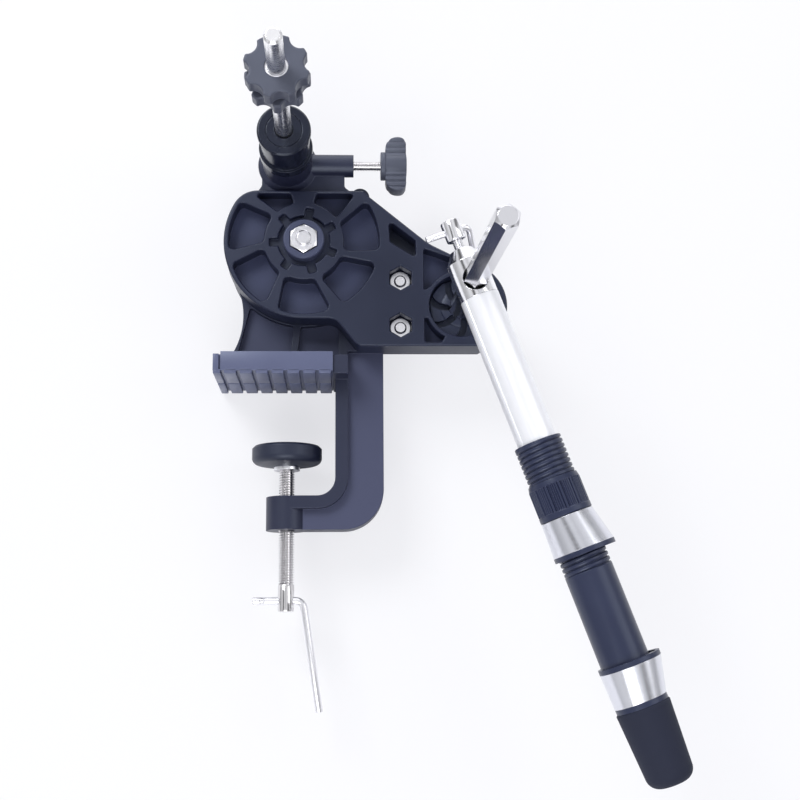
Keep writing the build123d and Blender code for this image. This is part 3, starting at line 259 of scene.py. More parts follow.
wire(recess_tree, recess_front.outputs["Value"], recess_flat.inputs["Value"])
wire(recess_tree, recess_flat.outputs["Result"], recess_both.inputs[1])
wire(recess_tree, recess_place.outputs["Object"], recess_split.inputs["Vector"])
wire(recess_tree, recess_split.outputs["Y"], recess_off.inputs[0])
wire(recess_tree, recess_in.outputs["Middle"], recess_off.inputs[1])
wire(recess_tree, recess_off.outputs["Value"], recess_size.inputs[0])
wire(recess_tree, recess_size.outputs["Value"], recess_past.inputs[0])
wire(recess_tree, recess_in.outputs["Reach"], recess_past.inputs[1])
wire(recess_tree, recess_past.outputs["Value"], recess_step.inputs["Value"])
wire(recess_tree, recess_step.outputs["Result"], recess_both.inputs[0])
wire(recess_tree, recess_both.outputs["Value"], recess_out.inputs["Mask"])


def moulded(name, dark, light, rough, grain, depth, edge, edge_highlight=0.0):
    """Moulded plastic: clouded colour, grain of a scale and depth, rounded edges with a painted
    highlight.

    The depth of the grain and the radius of the edges are in millimetres.
    """
    finish, tree, shader = new_finish(name)
    shader.inputs["Specular Tint"].default_value = (0.78, 0.86, 1.0, 1)
    group = tree.nodes.new("ShaderNodeGroup")
    group.node_tree = grain_tree
    group.inputs["Scale"].default_value = grain
    group.inputs["Low Roughness"].default_value = rough - 0.07
    group.inputs["High Roughness"].default_value = rough + 0.07
    tone = colour_mix(tree, dark, light)
    soft = tree.nodes.new("ShaderNodeBevel")
    soft.samples = bevel_samples
    soft.inputs["Radius"].default_value = edge * mm
    bump = tree.nodes.new("ShaderNodeBump")
    bump.inputs["Strength"].default_value = 0.35
    bump.inputs["Distance"].default_value = depth * mm
    wire(tree, group.outputs["Cloud"], tone.inputs["Factor"])
    wire(tree, group.outputs["Height"], bump.inputs["Height"])
    wire(tree, soft.outputs["Normal"], bump.inputs["Normal"])
    wire(tree, bump.outputs["Normal"], shader.inputs["Normal"])
    wire(tree, group.outputs["Roughness"], shader.inputs["Roughness"])
    # The rounded edges are painted lighter here: a painted highlight, not wear.
    if edge_highlight:
        edge_highlight_tone = colour_mix(tree, light, [level * 2.4 + 0.012 for level in light])
        flat = tree.nodes.new("ShaderNodeNewGeometry")
        match = tree.nodes.new("ShaderNodeVectorMath")
        match.operation = "DOT_PRODUCT"
        edge_mask = tree.nodes.new("ShaderNodeMapRange")
        edge_mask.inputs["From Min"].default_value = 0.985
        edge_mask.inputs["From Max"].default_value = 0.88
        edge_mask.inputs["To Max"].default_value = edge_highlight
        wire(tree, soft.outputs["Normal"], match.inputs[0])
        wire(tree, flat.outputs["True Normal"], match.inputs[1])
        wire(tree, match.outputs["Value"], edge_mask.inputs["Value"])
        wire(tree, edge_mask.outputs["Result"], edge_highlight_tone.inputs["Factor"])
        wire(tree, tone.outputs["Result"], edge_highlight_tone.inputs["A"])
        wire(tree, edge_highlight_tone.outputs["Result"], shader.inputs["Base Color"])
    else:
        wire(tree, tone.outputs["Result"], shader.inputs["Base Color"])
    return finish


def floor_grain_and_sheen(finish, middle, reach, colour):
    """Coarser finish on flat floors that lie within a reach of a middle plane, in mm; their paler
    colour is painted sheen.
    """
    tree = finish.node_tree
    shader = tree.nodes["Principled BSDF"]
    mask = tree.nodes.new("ShaderNodeGroup")
    mask.node_tree = recess_tree
    mask.inputs["Middle"].default_value = middle * mm
    mask.inputs["Reach"].default_value = reach * mm
    for label, value in (("Base Color", (*colour, 1)), ("Roughness", 0.55)):
        source = shader.inputs[label].links[0].from_socket
        mix = tree.nodes.new("ShaderNodeMix")
        mix.data_type = "RGBA" if label == "Base Color" else "FLOAT"
        mix.inputs["B"].default_value = value
        wire(tree, mask.outputs["Mask"], mix.inputs["Factor"])
        wire(tree, source, mix.inputs["A"])
        wire(tree, mix.outputs["Result"], shader.inputs[label])


def paint(finish, *names):
    """Give CAD nodes a finish."""
    for name in names:
        for layer in cad[name].material_slots:
            layer.material = finish


web_reach = 6.3
frame_nylon = moulded("frame_nylon", (0.012, 0.014, 0.034), (0.018, 0.020, 0.046),
                      rough=0.40, grain=2600.0, depth=0.04, edge=0.7, edge_highlight=0.3)
# The web floors' paler colour is painted sheen; their higher roughness is the real coarser grain.
floor_grain_and_sheen(frame_nylon, middle=0.0, reach=web_reach, colour=(0.052, 0.057, 0.110))
paint(frame_nylon, "clamp_frame")

# ---- Jaw pad
# A tray of black rubber pushed over the jaw plate. Its underside has two rows of raised blocks
# that grip the table, and a low lip stands out past its end wall on the left.


def clear():
    """Deselect every object."""
    bpy.ops.object.select_all(action="DESELECT")


def pick(piece):
    """Select one piece alone."""
    clear()
    piece.select_set(True)
    bpy.context.view_layer.objects.active = piece


def begin(name, primitive, **sizes):
    """Add a primitive at its size and place, with its place in its mesh."""
    clear()
    primitive(**sizes)
    piece = bpy.context.object
    piece.name = name
    bpy.ops.object.transform_apply(location=True, rotation=True, scale=True)
    return piece


def block(name, low, high):
    """Box between two corners given in millimetres."""
    middle = [(a + b) / 2 * mm for a, b in zip(low, high)]
    sides = [(b - a) * mm for a, b in zip(low, high)]
    return begin(name, bpy.ops.mesh.primitive_cube_add, size=1, location=middle, scale=sides)


def edit(piece):
    """Enter edit mode on one piece, all of it selected."""
    pick(piece)
    bpy.ops.object.mode_set(mode="EDIT")
    bpy.ops.mesh.select_mode(type="VERT")
    bpy.ops.mesh.select_all(action="SELECT")


def choose(piece, kind, test):
    """In edit mode, select the corners, edges or faces whose middle, in mm, passes a test."""
    bpy.ops.mesh.select_mode(type=kind)
    bpy.ops.mesh.select_all(action="DESELECT")
    mesh = bmesh.from_edit_mesh(piece.data)
    found = {"VERT": mesh.verts, "EDGE": mesh.edges, "FACE": mesh.faces}[kind]
    for item in found:
        corners = [item] if kind == "VERT" else item.verts
        middle = sum((corner.co for corner in corners), Vector()) / len(corners) / mm
        if test(middle):
            item.select_set(True)
    bmesh.update_edit_mesh(piece.data)


def leave():
    """Go back to object mode."""
    bpy.ops.object.mode_set(mode="OBJECT")


def apply_modifier(piece, name):
    """Apply one modifier of a piece."""
    pick(piece)
    bpy.ops.object.modifier_apply(modifier=name)


def soften(piece, width, segments=2, angle=40):
    """Round the edges sharper than an angle."""
    edge = piece.modifiers.new("edge", "BEVEL")
    edge.width = width * mm
    edge.segments = segments
    edge.limit_method = "ANGLE"
    edge.angle_limit = radians(angle)
    apply_modifier(piece, "edge")


def carve(piece, tool, how="DIFFERENCE"):
    """Cut a piece with a tool, or keep what both hold, and throw the tool away."""
    cut = piece.modifiers.new("cut", "BOOLEAN")
    cut.operation = how
    cut.solver = "EXACT"
    cut.object = tool
    apply_modifier(piece, "cut")
    bpy.data.objects.remove(tool)


def repeat(piece, count, step):
    """Repeat a piece in a row, with a step in millimetres."""
    row = piece.modifiers.new("row", "ARRAY")
    row.count = count
    row.use_relative_offset = False
    row.use_constant_offset = True
    row.constant_offset_displace = Vector(step) * mm
    apply_modifier(piece, "row")


def join(piece, *others):
    """Join other meshes into a piece."""
    pick(piece)
    for other in others:
        other.select_set(True)
    bpy.ops.object.join()
    return piece


def place(piece, matrix):
    """Turn and move a piece, and put its new place in its mesh."""
    pick(piece)
    piece.matrix_world = matrix
    bpy.ops.object.transform_apply(location=True, rotation=True, scale=True)


def fit(piece, body, slot, finish, *nodes):
    """Smooth, paint and mount a finished piece in place of its plain nodes."""
    pick(piece)
    bpy.ops.object.shade_smooth_by_angle(angle=radians(32))
    piece.data.materials.clear()
    piece.data.materials.append(finish)
    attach(piece, body)
    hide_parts(*nodes)


pad_low, pad_high = ([round(side / mm, 3) for side in corner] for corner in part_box("jaw_pad"))
pad_end, pad_right, pad_half, pad_top = pad_low[0], pad_high[0], pad_high[1], pad_high[2]
lip_long, lip_far, lip_near, lip_down = 4.6, 1.8, 0.9, 1.2
pad_wall, floor_low, floor_high = 1.6, 1.6, 2.6
pad_left = pad_end + lip_long
block_count, block_high, block_gap, row_gap = 7, 2.2, 0.9, 0.8
block_pitch = (pad_right - pad_left) / block_count
past_top, past_side = 15.0, 30.0
pad = block("rubber_jaw_pad", (pad_end, -pad_half, floor_low), (pad_right, pad_half, pad_top))
pad_room = block("pad_room", (pad_left - 0.1, -pad_half + pad_wall, floor_high),
                 (pad_right + 1, pad_half - pad_wall, past_top))
carve(pad, pad_room)
pad_step = block("pad_step", (pad_end - 1, -past_side, pad_top - lip_down),
                 (pad_left - 1.0, past_side, past_top))
carve(pad, pad_step)
pad_gap = block("pad_gap", (pad_left - lip_far, -past_side, 0),
                (pad_left - lip_near, -pad_half + pad_wall + 0.1, past_top))
carve(pad, pad_gap)
soften(pad, 0.55, 3)
front_blocks = block("pad_block", (pad_left + block_gap, -pad_half, 0),
                     (pad_left + block_pitch - block_gap, -row_gap, block_high))
edit(front_blocks)
choose(front_blocks, "EDGE", lambda p: p.z < 0.1 and p.y < 1 - pad_half)
bpy.ops.mesh.bevel(offset=0.9 * mm, segments=3)
leave()
soften(front_blocks, 0.35, 2, 50)
repeat(front_blocks, block_count, (block_pitch, 0, 0))
lip_block = block("lip_block", (pad_end + 0.1, -pad_half, 0), (pad_left - 0.8, -row_gap, block_high))
soften(lip_block, 0.45)
join(front_blocks, lip_block)
pick(front_blocks)
bpy.ops.object.duplicate()
back_blocks = bpy.context.object
edit(back_blocks)
bpy.ops.transform.resize(value=(1, -1, 1), center_override=(0, 0, 0))
bpy.ops.mesh.normals_make_consistent(inside=False)
leave()
join(pad, front_blocks, back_blocks)
pad_rubber = moulded("pad_rubber", (0.088, 0.100, 0.178), (0.118, 0.132, 0.228),
                     rough=0.34, grain=1800.0, depth=0.02, edge=0.4, edge_highlight=0.2)
fit(pad, "stand", "pad_rubber", pad_rubber, "jaw_pad")

# ---- Front and rear covers
# Two more mouldings of the same nylon close the housing: a deep one in front with seven pockets
# round a star, windows and nut recesses, and a flat one behind the swing hub.
pocket_floor, floor_reach = -16.0, 1.2
cover_nylon = moulded("cover_nylon", (0.007, 0.009, 0.026), (0.013, 0.016, 0.040),
                      rough=0.38, grain=2400.0, depth=0.04, edge=0.6, edge_highlight=0.35)
# The pocket floors' paler colour is painted sheen; their higher roughness is the real coarser grain.
floor_grain_and_sheen(cover_nylon, middle=pocket_floor, reach=floor_reach, colour=(0.036, 0.042, 0.095))
paint(cover_nylon, "front_cover", "rear_cover")
cap_nylon = moulded("cap_nylon", (0.040, 0.046, 0.092), (0.052, 0.060, 0.115),
                    rough=0.38, grain=2600.0, depth=0.03, edge=0.5, edge_highlight=0.3)
paint(cap_nylon, "pivot_cap")

# ---- Bolts and nuts of the housing
# Standard hexagon bolts, nuts and self-tapping screws of zinc-plated steel hold the covers.
# The plate is bright with a faint blue cast and shows fine crossing marks of its tumbling.


def metal(name, dark, light, rough, streak, marks, edge=0.3, turn=(0, 0, 0)):
    """Metal with tool marks: noise stretched along its axes, turned with the piece.

    The marks' length on each axis, their depth and the radius of the edges are in millimetres.
    """
    finish, tree, shader = new_finish(name)
    shader.inputs["Metallic"].default_value = 1.0
    at = tree.nodes.new("ShaderNodeTexCoord")
    mapping = tree.nodes.new("ShaderNodeMapping")
    mapping.vector_type = "TEXTURE"
    mapping.inputs["Rotation"].default_value = turn
    mapping.inputs["Scale"].default_value = [length * mm for length in streak]
    noise = tree.nodes.new("ShaderNodeTexNoise")
    noise.inputs["Scale"].default_value = 1.0
    noise.inputs["Detail"].default_value = 5.0
    noise.inputs["Roughness"].default_value = 0.6
    tone = colour_mix(tree, dark, light)
    gloss = tree.nodes.new("ShaderNodeMapRange")
    gloss.inputs["To Min"].default_value = rough * 0.75
    gloss.inputs["To Max"].default_value = rough * 1.25
    soft = tree.nodes.new("ShaderNodeBevel")
    soft.samples = bevel_samples
    soft.inputs["Radius"].default_value = edge * mm
    bump = tree.nodes.new("ShaderNodeBump")
    bump.inputs["Strength"].default_value = 0.2
    bump.inputs["Distance"].default_value = marks * mm
    wire(tree, at.outputs["Object"], mapping.inputs["Vector"])
    wire(tree, mapping.outputs["Vector"], noise.inputs["Vector"])
    wire(tree, noise.outputs["Fac"], tone.inputs["Factor"])
    wire(tree, noise.outputs["Fac"], gloss.inputs["Value"])
    wire(tree, noise.outputs["Fac"], bump.inputs["Height"])
    wire(tree, soft.outputs["Normal"], bump.inputs["Normal"])
    wire(tree, tone.outputs["Result"], shader.inputs["Base Color"])
    wire(tree, gloss.outputs["Result"], shader.inputs["Roughness"])
    wire(tree, bump.outputs["Normal"], shader.inputs["Normal"])
    return finish


zinc_plate = metal("zinc_plate", (0.80, 0.80, 0.84), (0.90, 0.90, 0.94),
                   rough=0.30, streak=(1.1, 0.8, 0.9), marks=0.004)
paint(zinc_plate, "pivot_bolt", "pivot_nut", "cover_bolts", "cover_nuts", "cover_screws")

# ---- Spindle and its bearings
# A ground steel rod turns in two bearings in the block; a sleeve and a clip hold it behind.
# It is straight-ground, so its marks run round it and it mirrors the room in long streaks.
ground_rod = metal("ground_rod", (0.86, 0.86, 0.89), (0.94, 0.94, 0.96),
                   rough=0.27, streak=(4.0, 0.3, 4.0), marks=0.003)
paint(ground_rod, "spindle_shaft", "spindle_bearings", "brake_sleeve", "spindle_clip",
      "seat_washer")

# ---- Drum and spool seat
# Both are turned from black acetal and polished. The drum stands on the spindle against its
# washer and carries the seat against which a spool is held.
gloss_black = moulded("gloss_black", (0.005, 0.006, 0.016), (0.009, 0.011, 0.024),
                      rough=0.20, grain=2600.0, depth=0.01, edge=0.5, edge_highlight=0.2)
paint(gloss_black, "seat_drum", "spool_seat")

# ---- Spool lock
# Two star knobs of grey glass-filled nylon on a split steel collet pinch the spindle: one
# carries the collet, and the other is turned on it to tighten it.
knob_grey = moulded("knob_grey", (0.060, 0.066, 0.094), (0.078, 0.084, 0.118),
                    rough=0.44, grain=2200.0, depth=0.03, edge=0.9, edge_highlight=0.25)
paint(knob_grey, "star_knob_upper", "star_knob_lower")
paint(zinc_plate, "collet")

# ---- Brake screw, shoe and knob
# An M5 screw of zinc-plated steel with rolled thread pushes a nylon shoe against the sleeve.
# Its wing knob is moulded in the grey of the star knobs, with ribbed wings and a round hub.
thread_steps, thread_share, crest_wear = 24, 0.6134, 0.02


def joint(name):
    """The record's row of a joint."""
    return next(row for row in frame["joints"] if row["name"] == name)


def traced(name, points):
    """Open line drawn corner by corner in the XZ plane, in millimetres."""
    clear()
    bpy.ops.mesh.primitive_plane_add(size=mm)
    line = bpy.context.object
    line.name = name
    edit(line)
    bpy.ops.mesh.merge(type="CENTER")
    here = Vector((points[0][0], 0, points[0][1])) * mm
    bpy.ops.transform.translate(value=here)
    for across, up in points[1:]:
        corner = Vector((across, 0, up)) * mm
        bpy.ops.mesh.extrude_vertices_move(TRANSFORM_OT_translate={"value": corner - here})
        here = corner
    leave()
    return line


def swept_round(line, steps, pitch=0.0, turns=1):
    """Turn a traced line round Z, or wind it up as a thread."""
    wind = line.modifiers.new("wind", "SCREW")
    wind.axis = "Z"
    wind.screw_offset = pitch * mm
    wind.iterations = turns
    wind.steps = steps
    wind.render_steps = steps
    apply_modifier(line, "wind")
    edit(line)
    bpy.ops.mesh.remove_doubles(threshold=0.002 * mm)
    bpy.ops.mesh.normals_make_consistent(inside=False)
    leave()
    return line


def trimmed(piece, low, high):
    """Saw a piece square at two heights and close its ends."""
    edit(piece)
    for height, below, above in ((low, True, False), (high, False, True)):
        bpy.ops.mesh.bisect(plane_co=(0, 0, height * mm), plane_no=(0, 0, 1), use_fill=True,
                            clear_inner=below, clear_outer=above)
        bpy.ops.mesh.select_all(action="SELECT")
    bpy.ops.mesh.normals_make_consistent(inside=False)
    leave()
    return piece


def threaded(name, radius, pitch, low, high):
    """Rolled metric thread along Z between two heights."""
    root = radius - thread_share * pitch
    crest = radius - crest_wear
    line = traced(name, [
        (root, 0), (root, 0.14 * pitch), (crest, 0.45 * pitch), (crest, 0.56 * pitch),
        (root, 0.87 * pitch), (root, pitch),
    ])
    turns = int((high - low) / pitch) + 3
    swept_round(line, thread_steps, pitch, turns)
    edit(line)
    bpy.ops.transform.translate(value=(0, 0, (low - pitch * 1.5) * mm))
    leave()
    return trimmed(line, low, high)


def rod(name, radius, low, high, sides=32):
    """Round bar along Z between two heights."""
    return begin(name, bpy.ops.mesh.primitive_cylinder_add, vertices=sides, radius=radius * mm,
                 depth=(high - low) * mm, location=(0, 0, (low + high) / 2 * mm))


thread_zinc = metal("thread_zinc", (0.62, 0.61, 0.62), (0.78, 0.77, 0.79),
                    rough=0.13, streak=(0.8, 0.8, 0.3), marks=0.001, edge=0.04)
small_radius, small_pitch = 2.5, 0.8
brake_y, brake_z = (round(side / mm, 3) for side in joint("brake_turn")["pos_m"][1:])
brake_at = Matrix.Translation(Vector((0, brake_y, brake_z)) * mm)
along_x = brake_at @ Matrix.Rotation(radians(90), 4, "Y")
brake_thread = threaded("brake_thread", small_radius, small_pitch, low=11.25, high=48.5)
place(brake_thread, along_x)
fit(brake_thread, "brake", "zinc_steel", thread_zinc, "brake_screw")
shoe_nylon = moulded("shoe_nylon", (0.72, 0.71, 0.64), (0.80, 0.79, 0.72),
                     rough=0.5, grain=1500.0, depth=0.02, edge=0.2)
paint(shoe_nylon, "brake_shoe", "lock_pad")

knob_left, knob_right, knob_reach, knob_half = 49.6, 60.1, 14.2, 4.5
wing_low, wing_high = brake_z - knob_reach, brake_z + knob_reach
grooves, groove_lead, crown_gap, past_wing = (5.9, 8.9, 11.9), 0.45, 1.3, 11.0
wings = block("wing_knob", (knob_left, brake_y - knob_half, wing_low),
              (knob_right, brake_y + knob_half, wing_high))
edit(wings)
for groove in grooves:
    for side in (-1, 1):
        for cut_at in (groove - groove_lead, groove, groove + crown_gap):
            bpy.ops.mesh.select_all(action="SELECT")
            bpy.ops.mesh.bisect(plane_co=(0, 0, (brake_z + side * cut_at) * mm), plane_no=(0, 0, 1))
for offset, swell in ((0.0, 0.80), (crown_gap, 1.06)):
    rows = [brake_z + side * (groove + offset) for groove in grooves for side in (-1, 1)]
    choose(wings, "VERT", lambda p: min(abs(p.z - row) for row in rows) < 0.05)
    bpy.ops.transform.resize(value=(1, swell, 1), center_override=(0, brake_y * mm, brake_z * mm))
leave()
wing_shape = block("wing_shape", (knob_left, brake_y - past_wing, wing_low),
                   (knob_right, brake_y + past_wing, wing_high))
edit(wing_shape)
for end, rounding, steps in ((knob_left, 6.2, 9), (knob_right, 3.9, 7)):
    choose(wing_shape, "EDGE", lambda p: (
        abs(p.x - end) < 0.1 and abs(p.y - brake_y) < 0.1 and abs(p.z - brake_z) > knob_reach - 0.2))
    bpy.ops.mesh.bevel(offset=rounding * mm, segments=steps)
leave()
carve(wings, wing_shape, "INTERSECT")
soften(wings, 0.45, 2, 55)
knob_hub = swept_round(traced("knob_hub", [
    (0, 47.2), (6.9, 47.2), (7.2, 47.5), (7.2, 49.3), (6.9, 49.6), (6.6, 50.0), (6.6, 59.4),
    (6.2, 60.2), (4.8, 60.45), (0, 60.5),
]), 40)
place(knob_hub, along_x)
join(wings, knob_hub)
fit(wings, "brake", "knob_plastic", knob_grey, "brake_knob")

# ---- Swing hub
# The rotor is moulded in black nylon, with a raised disc and seven curved slots that lighten it.
# The hexagon bar is cold-drawn bright steel, held in the rotor by a bolt from behind.
hub_x, _, hub_z = joint("arm_swing")["pos_m"]
to_front = Matrix.Translation((hub_x, 0, hub_z)) @ Matrix.Rotation(radians(90), 4, "X")
rotor = swept_round(traced("swing_rotor", [
    (0, 20.5), (9.4, 20.5), (9.9, 20.2), (10.1, 19.7), (14.9, 19.6), (15.4, 19.2), (15.4, 14.0),
    (18.3, 14.0), (18.3, 10.3), (9.2, 10.3), (9.2, 3.3), (0, 3.3),
]), 96)
slot_count, slot_bend, slot_half, slot_sweep, slot_turn = 7, 11.8, 1.7, 58.0, 205.0
slot_low, slot_high = 16.0, 24.0
slot_middle = Vector((-5.4, 11.5, 0)) * mm
profile_at = (slot_bend * mm, 0, (slot_low + slot_high) / 2 * mm)
for count in range(slot_count):
    slot = begin("rotor_slot", bpy.ops.mesh.primitive_plane_add, size=mm,
                 rotation=(radians(90), 0, 0), location=profile_at)
    edit(slot)
    bpy.ops.transform.resize(value=(2 * slot_half, 1, slot_high - slot_low),
                             center_override=profile_at)
    bpy.ops.mesh.spin(steps=12, angle=radians(slot_sweep), center=(0, 0, 0), axis=(0, 0, -1))
    bpy.ops.mesh.select_all(action="SELECT")
    bpy.ops.mesh.normals_make_consistent(inside=False)
    leave()
    slot_at = Matrix.Rotation(2 * pi / slot_count * count, 4, "Z") @ Matrix.Translation(slot_middle)
    place(slot, slot_at @ Matrix.Rotation(radians(slot_turn), 4, "Z"))
    carve(rotor, slot)
    slot_end = rod("slot_end", slot_half, slot_low, slot_high, sides=24)
    end_turn = radians(slot_turn + slot_sweep)
    end_at = Vector((cos(end_turn), sin(end_turn), 0)) * slot_bend * mm
    place(slot_end, slot_at @ Matrix.Translation(end_at))
    carve(rotor, slot_end)
carve(rotor, rod("bolt_hole", 3.1, -1, 14, sides=24))
place(rotor, to_front)

arm_z = Vector(joint("hood_travel")["axis"])
arm_x = Vector(joint("lock_bar_slide")["axis"])
arm_y = Vector(joint("arm_slide")["axis"])
nut_along, socket_radius, socket_long, socket_height = 110.0, 5.86, 40.0, -41.0
arm_from = Vector(joint("nut_turn")["pos_m"]) - arm_z * nut_along * mm
arm_at = Matrix.Translation(arm_from) @ Matrix((arm_x, arm_y, arm_z)).transposed().to_4x4()
bar_turn = Matrix((arm_x, -arm_z, arm_y)).transposed().to_4x4()
bar_at = Matrix.Translation(arm_from) @ bar_turn
socket = begin("bar_socket", bpy.ops.mesh.primitive_cylinder_add, vertices=6,
               radius=socket_radius * mm, depth=socket_long * mm,
               location=(0, 0, socket_height * mm), rotation=(0, 0, radians(30)))
place(socket, bar_at)
carve(rotor, socket)
rotor_nylon = moulded("rotor_nylon", (0.010, 0.013, 0.032), (0.020, 0.024, 0.052),
                      rough=0.36, grain=2400.0, depth=0.03, edge=0.3, edge_highlight=0.35)
fit(rotor, "hub", "rotor_plastic", rotor_nylon, "hub_rotor")
bar_steel = metal("drawn_bar", (0.72, 0.72, 0.76), (0.84, 0.84, 0.88),
                  rough=0.14, streak=(0.3, 12.0, 0.3), marks=0.003, turn=(0, 0, radians(3.4)))
paint(bar_steel, "hex_bar")
paint(zinc_plate, "hub_spring", "hub_washer", "hub_bolt")

# ---- Arm head and lock screw
# The head is turned from bright steel bar, cross-drilled for the hexagon bar and tapped on top
# for the M5 lock screw, whose plain round head carries a small bent bar.
arm_turn = (0, radians(-20.5), 0)
head_steel = metal("turned_head", (0.80, 0.80, 0.83), (0.91, 0.91, 0.94),
                   rough=0.15, streak=(5.0, 5.0, 0.2), marks=0.004, turn=arm_turn)
paint(head_steel, "arm_head")
lock_bar_height, lock_bar_radius, hole_play = -26.4, 1.55, 0.07
lock_shank = threaded("lock_screw_thread", small_radius, small_pitch, low=-22.0, high=-6.95)
lock_head = swept_round(traced("lock_screw_head", [
    (0, -31.4), (3.9, -31.4), (4.5, -31.1), (4.7, -30.6), (4.7, -22.0), (4.5, -21.6),
    (4.1, -21.4), (0, -21.4),
]), 48)
cross_hole = begin("cross_hole", bpy.ops.mesh.primitive_cylinder_add, vertices=28,
                   radius=(lock_bar_radius + hole_play) * mm, depth=14 * mm,
                   location=(0, 0, lock_bar_height * mm), rotation=(0, radians(90), 0))
carve(lock_head, cross_hole)
join(lock_shank, lock_head)
place(lock_shank, arm_at)
fit(lock_shank, "arm_lock", "bright_steel", head_steel, "lock_screw")


bend_steps, end_round = 10, 0.6


def bent_rod(name, radius, left, right, bend, leg, splay, ears, ear_out):
    """Rod along X with a bend and a leg up Z, staked flat beside its free end."""
    bar = begin(name, bpy.ops.mesh.primitive_circle_add, vertices=24, radius=radius * mm,
                fill_type="NGON", location=(-left * mm, 0, 0), rotation=(0, radians(90), 0))
    edit(bar)
    turn = radians(90 - splay)
    tangent = bend * sin(turn / 2) / cos(turn / 2)
    bend_at = right + bend - tangent

    def draw_out(ahead):
        """Pull the chosen end face out by a step in millimetres."""
        bpy.ops.mesh.extrude_region_move(TRANSFORM_OT_translate={"value": Vector(ahead) * mm})

    draw_out((bend_at + left, 0, 0))
    for count in range(bend_steps):
        before = turn * count / bend_steps
        after = turn * (count + 1) / bend_steps
        draw_out((bend * (sin(after) - sin(before)), 0, bend * (cos(before) - cos(after))))
        middle = Vector((bend_at + bend * sin(after), 0, bend * (1 - cos(after)))) * mm
        bpy.ops.transform.rotate(value=turn / bend_steps, orient_axis="Y", center_override=middle)
    along = Vector((cos(turn), 0, sin(turn)))
    straight = leg + bend - tangent
    draw_out(along * (straight - end_round))
    tip = Vector((bend_at + bend * sin(turn), 0, bend * (1 - cos(turn)))) + along * straight
    for ahead, shrink in ((0.35, 0.90), (0.25, 0.75), (0.0, 0.62), (-1.4, 1.0)):
        draw_out(along * ahead)
        bpy.ops.transform.resize(value=(shrink,) * 3, center_override=tip * mm)
    choose(bar, "FACE", lambda p: p.x < -left + 0.01)
    for ahead, shrink in ((0.30, 0.90), (0.25, 0.72)):
        draw_out((-ahead, 0, 0))
        bpy.ops.transform.resize(value=(1, shrink, shrink), center_override=(0, 0, 0))
    bpy.ops.mesh.select_all(action="SELECT")
    bpy.ops.mesh.normals_make_consistent(inside=False)
    leave()
    ear_half = 0.55 * radius
    stakes = block("staked_ears", (ears[0] - left, -radius - ear_out, -ear_half),
                   (ears[1] - left, radius + ear_out, ear_half))
    soften(stakes, 0.3 * radius, 4, 30)
    return join(bar, stakes)


lock_bar = bent_rod("lock_bar", radius=lock_bar_radius, left=13.2, right=4.9, bend=3.0, leg=20.0,
                    splay=0.0, ears=(1.4, 3.4), ear_out=0.5)
in_lock = Matrix.Translation((0, 0, lock_bar_height * mm)) @ Matrix.Rotation(radians(41), 4, "X")
place(lock_bar, arm_at @ in_lock)
fit(lock_bar, "arm_lock_bar", "zinc_steel", zinc_plate, "lock_handle")

# ---- Arm tube
# Drawn aluminium tube with a satin clear anodised skin; the die left a shallow groove along it.
# Its marks run lengthwise. It is pressed on the head's spigot and into the reel seat.
tube_radius, tube_wall, tube_start, tube_long = 9.3, 1.25, 8.05, 91.7
chamfer, chamfer_share, groove_share = 0.18, 0.982, 0.957
groove_turn = radians(148)
groove_x, groove_y = tube_radius * cos(groove_turn), tube_radius * sin(groove_turn)
tube = begin("grooved_tube", bpy.ops.mesh.primitive_circle_add, vertices=160,
             radius=tube_radius * mm, fill_type="NOTHING", location=(0, 0, tube_start * mm))
edit(tube)
choose(tube, "VERT", lambda p: hypot(p.x - groove_x, p.y - groove_y) < 0.4)
bpy.ops.transform.resize(value=(groove_share, groove_share, 1), center_override=(0, 0, 0))
bpy.ops.mesh.select_all(action="SELECT")
bpy.ops.transform.resize(value=(chamfer_share, chamfer_share, 1), center_override=(0, 0, 0))
bpy.ops.mesh.extrude_region_move(TRANSFORM_OT_translate={"value": (0, 0, chamfer * mm)})
bpy.ops.transform.resize(value=(1 / chamfer_share, 1 / chamfer_share, 1), center_override=(0, 0, 0))
bpy.ops.mesh.extrude_region_move(TRANSFORM_OT_translate={"value": (0, 0, tube_long * mm)})
bpy.ops.mesh.select_all(action="SELECT")
bpy.ops.mesh.normals_make_consistent(inside=False)
leave()
wall = tube.modifiers.new("wall", "SOLIDIFY")
wall.thickness = tube_wall * mm
wall.offset = -1
apply_modifier(tube, "wall")
place(tube, arm_at)
anodised = metal("anodised_tube", (0.87, 0.88, 0.93), (0.93, 0.94, 0.98),
                 rough=0.42, streak=(0.6, 0.6, 30.0), marks=0.003, turn=arm_turn)
anodised.node_tree.nodes["Principled BSDF"].inputs["Metallic"].default_value = 0.55
fit(tube, "arm", "aluminium", anodised, "arm_tube")

# ---- Reel seat barrel and nut
# Both are moulded in dark nylon: the barrel with a coarse rounded thread, the nut with twelve
# finely knurled panels between smooth ribs, a cone above and a plain band below.
seat_nylon = moulded("seat_nylon", (0.014, 0.018, 0.046), (0.022, 0.027, 0.064),
                     rough=0.34, grain=3000.0, depth=0.02, edge=0.3, edge_highlight=0.25)
barrel_low, barrel_end, thread_stop = 80.9, 198.1, 143.4
seat_pitch, seat_turns, barrel_core = 2.4, 29, 10.4
barrel = swept_round(traced("seat_barrel_thread", [
    (barrel_core, 0), (barrel_core, 0.22), (10.95, 0.38), (11.2, 0.70), (11.25, 1.20), (11.2, 1.75),
    (10.95, 2.1), (barrel_core, 2.25), (barrel_core, seat_pitch),
]), 72, seat_pitch, seat_turns)
edit(barrel)
bpy.ops.transform.translate(value=(0, 0, (barrel_low - 3.2) * mm))
leave()
trimmed(barrel, barrel_low + 0.9, thread_stop)
